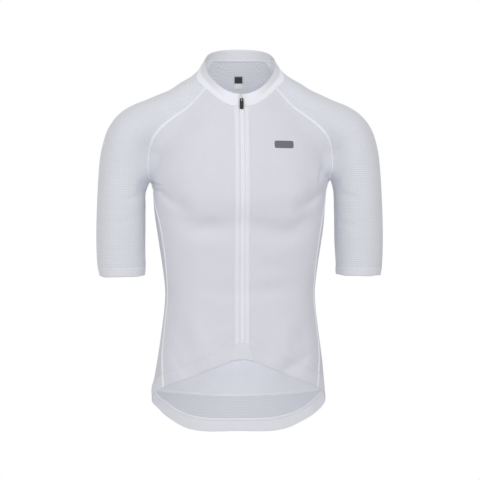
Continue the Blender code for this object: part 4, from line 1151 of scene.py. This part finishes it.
for sign, hand in SIDES:
    # columns run counter-clockwise seen from above: a left front ends, and the back starts, at its side
    front_edge, back_edge = ("right", "left") if sign > 0 else ("left", "right")
    front, sleeve = "front_" + hand, "sleeve_" + hand
    line, normals, corner = edge_and_corner(front, front_edge, UNDERARM_ROW)
    side = line[:corner + 1], normals[:corner + 1], SIDE_SEAM_WIDTH, SIDE_SEAM_RISE
    sew("side_seam_" + hand, front, *side, "side_tape", KNIT)
    flat_stitches("side_stitches_" + hand, front, *side)
    sew("hem_side_seam_" + hand, "front_hem", *inset_line(FINE["front_hem"], front_edge), *side[2:],
        "side_tape")
    for panel, edge, raglan in ((front, front_edge, "front_raglan_"), ("back", back_edge, "back_raglan_")):
        line, normals, corner = edge_and_corner(panel, edge, UNDERARM_ROW)
        widths = widths_along(RAGLAN_WIDTHS, len(line) - corner)
        seam = line[corner:], normals[corner:], widths, FLAT_SEAM_RISE
        sew(raglan + hand, panel, *seam, inside=KNIT)
        flat_stitches(raglan + "stitches_" + hand, panel, *seam)
    line, normals, corner = edge_and_corner(sleeve, "left", CAP_ROW)
    sew("sleeve_seam_" + hand, sleeve, line[:corner + 1], normals[:corner + 1], SLEEVE_SEAM_WIDTH,
        FLAT_SEAM_RISE, inside=KNIT)

neck, neck_out = inset_line(FINE["collar"], "bottom")
sew("collar_seam", "collar", neck, neck_out, widths_along(COLLAR_SEAM_WIDTHS, len(neck)), COLLAR_SEAM_RISE,
    "side_tape", COLLAR_SEAM_DEPTH)

# The seam's allowance and the zip's facing lie inside the collar. Where they don't, the collar is painted
# greyer: painted shade.
collar_round, collar_up = np.moveaxis(arc_lengths(FINE["collar"]), -1, 0)
round_neck = (collar_round - collar_round[:, :1]) / np.ptp(collar_round, axis=1)[:, None]
from_front = 1 - np.abs(2 * round_neck - 1)
above = np.clip((collar_up - COLLAR_SHADE_START) / COLLAR_SHADE_START_FADE, 0, 1)
aside = np.clip((from_front - COLLAR_SHADE_ASIDE) / COLLAR_SHADE_ASIDE_FADE, 0, 1)
mark_points("collar", "painted_shade", (above * aside).reshape(-1))

sew("front_hem_seam", "front_hem", *inset_line(FINE["front_hem"], "top"), FRONT_HEM_SEAM_WIDTH,
    FRONT_HEM_SEAM_RISE, "front")
ridge = from_inside(*inset_line(FINE["back_hem"], "top", HEM_RIDGE_PLACE), BAND)
sew("back_hem_ridge", "back_hem", *ridge, HEM_RIDGE_WIDTH, HEM_RIDGE_RISE, "side_tape")
# a thin grey strip under the ridge: painted shadow
groove = from_inside(*inset_line(FINE["back_hem"], "top", HEM_SHADOW_LINE_PLACE), BAND)
sew("back_hem_painted_shadow", "back_hem", *groove, HEM_SHADOW_LINE_WIDTH, HEM_SHADOW_LINE_RISE, "cord")

# -------------------- rear pockets
pocket = shifted(smoothed(outer_grid("rear_pockets")))
on_back, back_normals = laid_on(surface(FINE["back"]), pocket)
rise = np.linspace(0, 1, len(pocket))[:, None, None] ** 3
across = np.linspace(-1, 1, pocket.shape[1])[None, :, None]
pinch = np.exp(-(((np.abs(pocket[..., :1]) - POCKET_DIVIDER) / POCKET_PINCH) ** 2))
gape = POCKET_GAPE * rise * (1 - across**4) * (1 - POCKET_HOLD * pinch)
free = np.clip((1 - np.abs(across)) / POCKET_EDGE, 0, 1)
lift = POCKET_LOWEST + (POCKET_LIFT - POCKET_LOWEST) * free
pocket = on_back + back_normals * (lift + gape)
FINE["rear_pockets"] = pocket
pocket_cloth = shell("rear_pockets_cloth", pocket, KNIT, [LOOKS["pocket"], LOOKS["inside"]])
PIECES["rear_pockets"] = place(pocket_cloth, "pocket_knit", instead_of=("rear_pockets",))

band_rows = np.linspace(MOUTH_BAND, 0.0, MOUTH_BAND_ROWS)
band = np.stack([inset_line(pocket, "top", distance)[0] for distance in band_rows])
sew_on("rear_pockets",
       shell("pocket_mouth_band", band, KNIT, [LOOKS["band"], LOOKS["inside_band"]], MOUTH_BAND_LIFT))
divider_rows, bartacks = [], []
for sign, _ in SIDES:
    divider, divider_out = at_x(pocket, sign * POCKET_DIVIDER)
    divider_rows += [(beside(divider, divider_out, shift), divider_out) for shift in DIVIDER_ROWS]
    tack = np.linspace(divider[-1] - [0, 0, BARTACK_LENGTH], divider[-1], BARTACK_POINTS)
    tack += divider_out[-1] * MOUTH_BAND_LIFT
    bartacks.append((tack, np.broadcast_to(divider_out[-1], tack.shape)))
sew_on("rear_pockets", stitches("pocket_divider_stitches", divider_rows, LOOKS["thread"]))
sew_on("rear_pockets", stitches("pocket_bartacks", bartacks, LOOKS["thread"], BARTACK_PITCH,
                                gap=1 - BARTACK_WIDTH / BARTACK_PITCH, slant=math.pi / 2))
sew("pocket_seam_inside", "back", *from_inside(on_back[0], back_normals[0], KNIT), POCKET_SEAM_WIDTH,
    POCKET_SEAM_RISE, "inside_band")

# The knit above that seam is doubled by the pockets, so it looks smoother from inside; it is also painted
# lighter there: painted light.
x, y, z = FINE["back"].reshape(-1, 3).T
bottom = on_back[0][np.argsort(on_back[0][:, 0])]
seam_height = np.interp(x, bottom[:, 0], bottom[:, 2])
behind = (y > DOUBLED_BEHIND) & (np.abs(x) < np.abs(bottom[:, 0]).max()) & (z < on_back[-1, :, 2].mean())
mark_points("back", "doubled_painted_light", np.clip((z - seam_height) / DOUBLED_FADE, 0, 1) * behind)

# -------------------- rows of stitches
for panel, edge, distances, lift in STITCH_ROWS:
    rows = [inset_line(FINE[panel], edge, distance) for distance in distances]
    rows = [(line + normals * lift, normals) for line, normals in rows]
    sew_on(panel, stitches(f"{panel}_{edge}_stitches", rows, LOOKS["thread"]))

# -------------------- the zip and the chest's bar
for sign, hand in SIDES:
    # the columns run towards the wearer's left, so a left tape starts at the middle of the front
    middle_edge, outer_edge = ("left", "right") if sign > 0 else ("right", "left")
    placket, tape = "placket_" + hand, "zip_" + hand
    # a raised strip along the placket's turned edge, in a lighter colour: painted highlight
    roll = inset_line(FINE[placket], middle_edge, ROLL_PLACE)
    sew("placket_roll_" + hand, placket, *roll, ROLL_WIDTH, ROLL_RISE, "roll")
    # a thin grey strip along the tape's outer edge: painted shade
    line, normals = inset_line(FINE[tape], outer_edge, ZIP_SHADE_LINE_PLACE)
    sew("zip_cord_" + hand, tape, line - normals * TAPE_SINK, normals, ZIP_SHADE_LINE_WIDTH, ZIP_SHADE_LINE_RISE,
        "cord")
    line, normals = inset_line(FINE[tape], middle_edge, LIP_WIDTH / 2)
    sew("zip_lip_" + hand, tape, line - normals * TAPE_SINK, normals, LIP_WIDTH, LIP_RISE, "zip")
    line, normals = inset_line(FINE["zip_left"], "left")
    shift = (sign * (TOOTH_LENGTH / 2 - TOOTH_REACH), 0, TOOTH_PITCH / 2 * (sign > 0))
    teeth = line + shift - normals * COIL_DEPTH
    sew_on(tape, stitches("zip_coil_" + hand, [(teeth, normals)], LOOKS["thread"], TOOTH_PITCH,
                          TOOTH_THICKNESS, 1 - TOOTH_LENGTH / TOOTH_PITCH, math.pi / 2))

hem = FINE["front_hem"]
low, high = hem[0] + (0, 0, ZIP_PATCH_MARGIN), hem[-1] + (0, 0, ZIP_PATCH_REACH)
ends = surface(hem, *(FINE[part + hand] for part in ("zip_", "placket_") for _, hand in SIDES))
sew_on("front_hem", patch("zip_end_patch", ends, low, high, ZIP_PATCH_HALF_WIDTHS, 0.0,
                          ZIP_PATCH_THICKNESS, ZIP_PATCH_THICKNESS, LOOKS["band"]))
level = np.array([(-1.0, 0, CHEST_BAR_Z), (1.0, 0, CHEST_BAR_Z)])
low, high = level - (0, 0, CHEST_BAR_HEIGHT / 2), level + (0, 0, CHEST_BAR_HEIGHT / 2)
chest_bar = patch("chest_bar", surface(FINE["front_left"]), low, high, (CHEST_BAR_WIDTH / 2,) * 2,
                  CHEST_BAR_X, CHEST_BAR_THICKNESS, CHEST_BAR_LIFT, LOOKS["grey"])
TRIMS["front_left"].append(place(chest_bar, "label"))


# -------------------- slider and pull
def plate_axes(node):
    """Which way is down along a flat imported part, and which way it faces."""
    spread = np.zeros((3, 3))
    for face in frame["nodes"][node].data.polygons:
        spread += face.area * np.outer(face.normal, face.normal)
    out = np.linalg.eigh(spread)[1][:, -1]
    out = out * -np.sign(out[1])
    return np.cross((1, 0, 0), out), out


def rounded_turn(angles, power):
    """Cosines and sines round a circle, pressed towards a square."""
    turned = np.cos(angles), np.sin(angles)
    return [np.sign(each) * np.abs(each) ** power for each in turned]


def flat_form(name, axes, ends, widths, thickness, corner, material, squareness=FORM_SQUARENESS,
              slot_depth=0.0, groove=None):
    """A flat bar with round corners and edges, slotted at its sides or grooved on its faces.

    axes is its origin, the way down along it and the way it faces.
    """
    origin, down, out = axes
    places = ends[0] + (ends[1] - ends[0]) * crowded_ends(FORM_RINGS)
    wide = np.interp(places, ends, widths) / 2 - rounding(places, ends, corner)
    thick = thickness / 2 - rounding(places, ends, thickness / 2 * FORM_ROUNDING)
    across, up = rounded_turn(circle(FORM_SIDES), 2 / squareness)
    x, t = wide[:, None] * across, thick[:, None] * up
    x = x - np.sign(x) * slot_depth * np.exp(-((t / (thickness / 2 * SLOT_SHARE)) ** 2))
    if groove:
        depth, width, start, end = groove
        along = np.clip(np.minimum(places - start, end - places) / width, 0, 1)[:, None]
        t = t - np.sign(t) * depth * along * np.exp(-((x / width) ** 2)) * (np.abs(up) > 0.5)
    rings = origin + places[:, None, None] * down + x[..., None] * ACROSS + t[..., None] * out
    return loft(name, rings, material)


def wire(name, path, side, width, height, material, closed=False):
    """A rounded flat wire along a path. side is across it, the way its width lies."""
    along = (np.roll(path, -1, axis=0) - np.roll(path, 1, axis=0)) if closed else np.gradient(path, axis=0)
    along = unit(along)
    side = unit(side - along * (along @ side)[:, None])
    other = np.cross(along, side)
    angles = circle(WIRE_SIDES)
    rings = (path[:, None] + side[:, None] * (np.cos(angles) * width / 2)[None, :, None]
             + other[:, None] * (np.sin(angles) * height / 2)[None, :, None])
    return loft(name, rings, material, closed=closed)


ACROSS = np.array((1.0, 0, 0))
down, out = plate_axes("zip_slider")
corners = np.array([tuple(vertex.co) for vertex in frame["nodes"]["zip_slider"].data.vertices])
middle = (np.min(corners @ down) + np.max(corners @ down)) / 2
slider_middle = down * middle + out * (np.min(corners @ out) + SLIDER_THICKNESS / 2)
place(flat_form("slider_plates", (slider_middle, down, out), SLIDER_ENDS, SLIDER_WIDTHS, SLIDER_THICKNESS,
                SLIDER_CORNER, LOOKS["metal"], slot_depth=SLIDER_SLOT), "slider_metal",
      instead_of=("zip_slider",))
turn = np.linspace(0, math.pi, BRIDGE_POINTS)
arch = (slider_middle - np.outer(np.cos(turn), down) * BRIDGE_HALF_LENGTH
        + np.outer(np.sin(turn) ** BRIDGE_FULLNESS, out) * BRIDGE_RISE + out * SLIDER_THICKNESS / 2)
feet = arch[[0, -1]] - out * SLIDER_THICKNESS / 3
place(wire("slider_bridge", np.concatenate([feet[:1], arch, feet[1:]]), ACROSS, BRIDGE_WIDTH, BRIDGE_WIRE,
           LOOKS["metal"]), "slider_metal")

hinge = np.array(next(j for j in frame["joints"] if j["name"] == "pull_tab_swing")["pos_m"])
down, out = plate_axes("pull_tab")
round_eye, along_eye = rounded_turn(circle(EYE_POINTS), EYE_FULLNESS)
eye = (hinge + np.outer((1 - along_eye) * (EYE_HOLE_END + EYE_BAR / 2) / 2, down)
       + np.outer(round_eye * (EYE_WIDTH - EYE_BAR) / 2, ACROSS))
place(wire("pull_eye", eye, out, EYE_BAR, EYE_BAR, LOOKS["metal"], closed=True), "slider_metal",
      body="pull_tab")
hanging = hinge, down, out
place(flat_form("pull_plate", hanging, PULL_PLATE_ENDS, (PULL_PLATE_WIDTH,) * 2, EYE_BAR,
                PULL_PLATE_CORNER, LOOKS["pull_metal"]), "slider_metal", body="pull_tab")
place(flat_form("pull_rivet", hanging, RIVET_ENDS, (RIVET_SIZE,) * 2, RIVET_THICKNESS, RIVET_SIZE / 2,
                LOOKS["metal"], RIVET_SQUARENESS), "slider_metal", body="pull_tab")
place(flat_form("pull_grip", hanging, GRIP_ENDS, GRIP_WIDTHS, GRIP_THICKNESS, GRIP_CORNER, LOOKS["rubber"],
                groove=GRIP_GROOVE), "pull_rubber", body="pull_tab", instead_of=("pull_tab",))

# -------------------- neck label
label = smoothed(outer_grid("neck_label"), LABEL_CELL)
split = int(np.argmin(np.abs(label[:, 0, 2] - LABEL_SPLIT)))
dark, light = label[split:], label[:split + 1]
label_cloth = shell("neck_label_cloth", dark, LABEL_THICKNESS, [LOOKS["label"]], LABEL_BACKWARD)
place(label_cloth, "label", instead_of=("neck_label",))
tag_cloth = shell("neck_tag_cloth", light, TAG_THICKNESS, [LOOKS["tag"]], LABEL_BACKWARD)
label_trims = [place(tag_cloth, "label")]
seen_face = dark + grid_normals(dark) * (LABEL_BACKWARD - LABEL_THICKNESS)
for edge in ("bottom", "right", "top", "left"):
    line, normals = from_inside(*inset_line(seen_face, edge, LABEL_EDGE_PLACE))
    label_trims.append(place(strip(f"neck_label_{edge}_edge", line, normals, LABEL_EDGE_WIDTH,
                                   LABEL_EDGE_RISE, LOOKS["tag"]), "label"))


# -------------------- flat sizes and areas, worked out but not used
def flat_area(grid):
    a, b = grid[1:, 1:] - grid[:-1, :-1], grid[:-1, 1:] - grid[1:, :-1]
    return float(np.linalg.norm(np.cross(a, b), axis=-1).sum() / 2)


def flat_size(grid):
    places = arc_lengths(grid)
    return float(np.ptp(places[..., 0], axis=1).max()), float(places[-1, :, 1].max())


for panel, piece in PIECES.items():
    width, length = flat_size(FINE[panel])
    area = flat_area(FINE[panel])
    TRIMS[panel]
flat_size(dark)
flat_area(dark)


# -------------------- stage, lights and camera
def area_light(name, where, target, width, height, power):
    """A soft light that the camera doesn't see: a disk, or with a height a rectangle."""
    light = bpy.data.lights.new(name, "AREA")
    light.shape = "RECTANGLE" if height else "DISK"
    light.size = width
    light.size_y = height or width
    light.energy = power
    lamp = add_to_scene(name, light)
    lamp.visible_camera = False
    lamp.location = where
    lamp.rotation_euler = (Vector(target) - Vector(where)).to_track_quat("-Z", "Y").to_euler()


def add_camera():
    data = bpy.data.cameras.new("camera")
    data.sensor_width = SENSOR
    data.sensor_fit = "HORIZONTAL"
    data.lens = LENS
    camera = add_to_scene("camera", data)
    turn = math.radians(CAMERA_AZIMUTH)
    camera.location = (
        CAMERA_DISTANCE * math.sin(turn), -CAMERA_DISTANCE * math.cos(turn), CAMERA_HEIGHT
    )
    camera.rotation_euler = (math.pi / 2, 0, turn)
    bpy.context.scene.camera = camera


def add_floor():
    """A round sheet of pale floor with a softened edge, under the object."""
    angles = circle(FLOOR_SIDES)
    unit_ring = np.stack([np.cos(angles), np.sin(angles), np.zeros(FLOOR_SIDES)], axis=1)
    rings = [unit_ring * FLOOR_RADIUS * share + (0, 0, FLOOR_HEIGHT - drop) for share, drop in FLOOR_RINGS]
    number = numbered(len(rings), FLOOR_SIDES)
    quads = ring_quads(number)[:, [0, 3, 2, 1]]
    ahead = np.roll(number[0], -1)
    middle = np.stack([number[0], ahead, np.full(FLOOR_SIDES, number.size)], axis=1)
    points = np.concatenate([*rings, [(0, 0, FLOOR_HEIGHT)]])
    mesh_object("floor", points, [quads, middle], [LOOKS["floor"]])


def add_studio():
    """A white room: plain white behind the jersey, and soft even light of less strength on it."""
    world = bpy.data.worlds.new("studio")
    bpy.context.scene.world = world
    world.use_nodes = True
    tree = world.node_tree
    seen = tree.nodes["Background"]
    soft = tree.nodes.new("ShaderNodeBackground")
    for background in (seen, soft):
        background.inputs["Color"].default_value = (1, 1, 1, 1)
    soft.inputs["Strength"].default_value = AMBIENT
    path = tree.nodes.new("ShaderNodeLightPath")
    mix = tree.nodes.new("ShaderNodeMixShader")
    tree.links.new(path.outputs["Is Camera Ray"], mix.inputs[0])
    tree.links.new(soft.outputs[0], mix.inputs[1])
    tree.links.new(seen.outputs[0], mix.inputs[2])
    tree.links.new(mix.outputs[0], tree.nodes["World Output"].inputs["Surface"])


add_floor()
add_studio()
for row in LIGHTS:
    area_light(*row)
bpy.context.scene.view_settings.view_transform = "Standard"
add_camera()
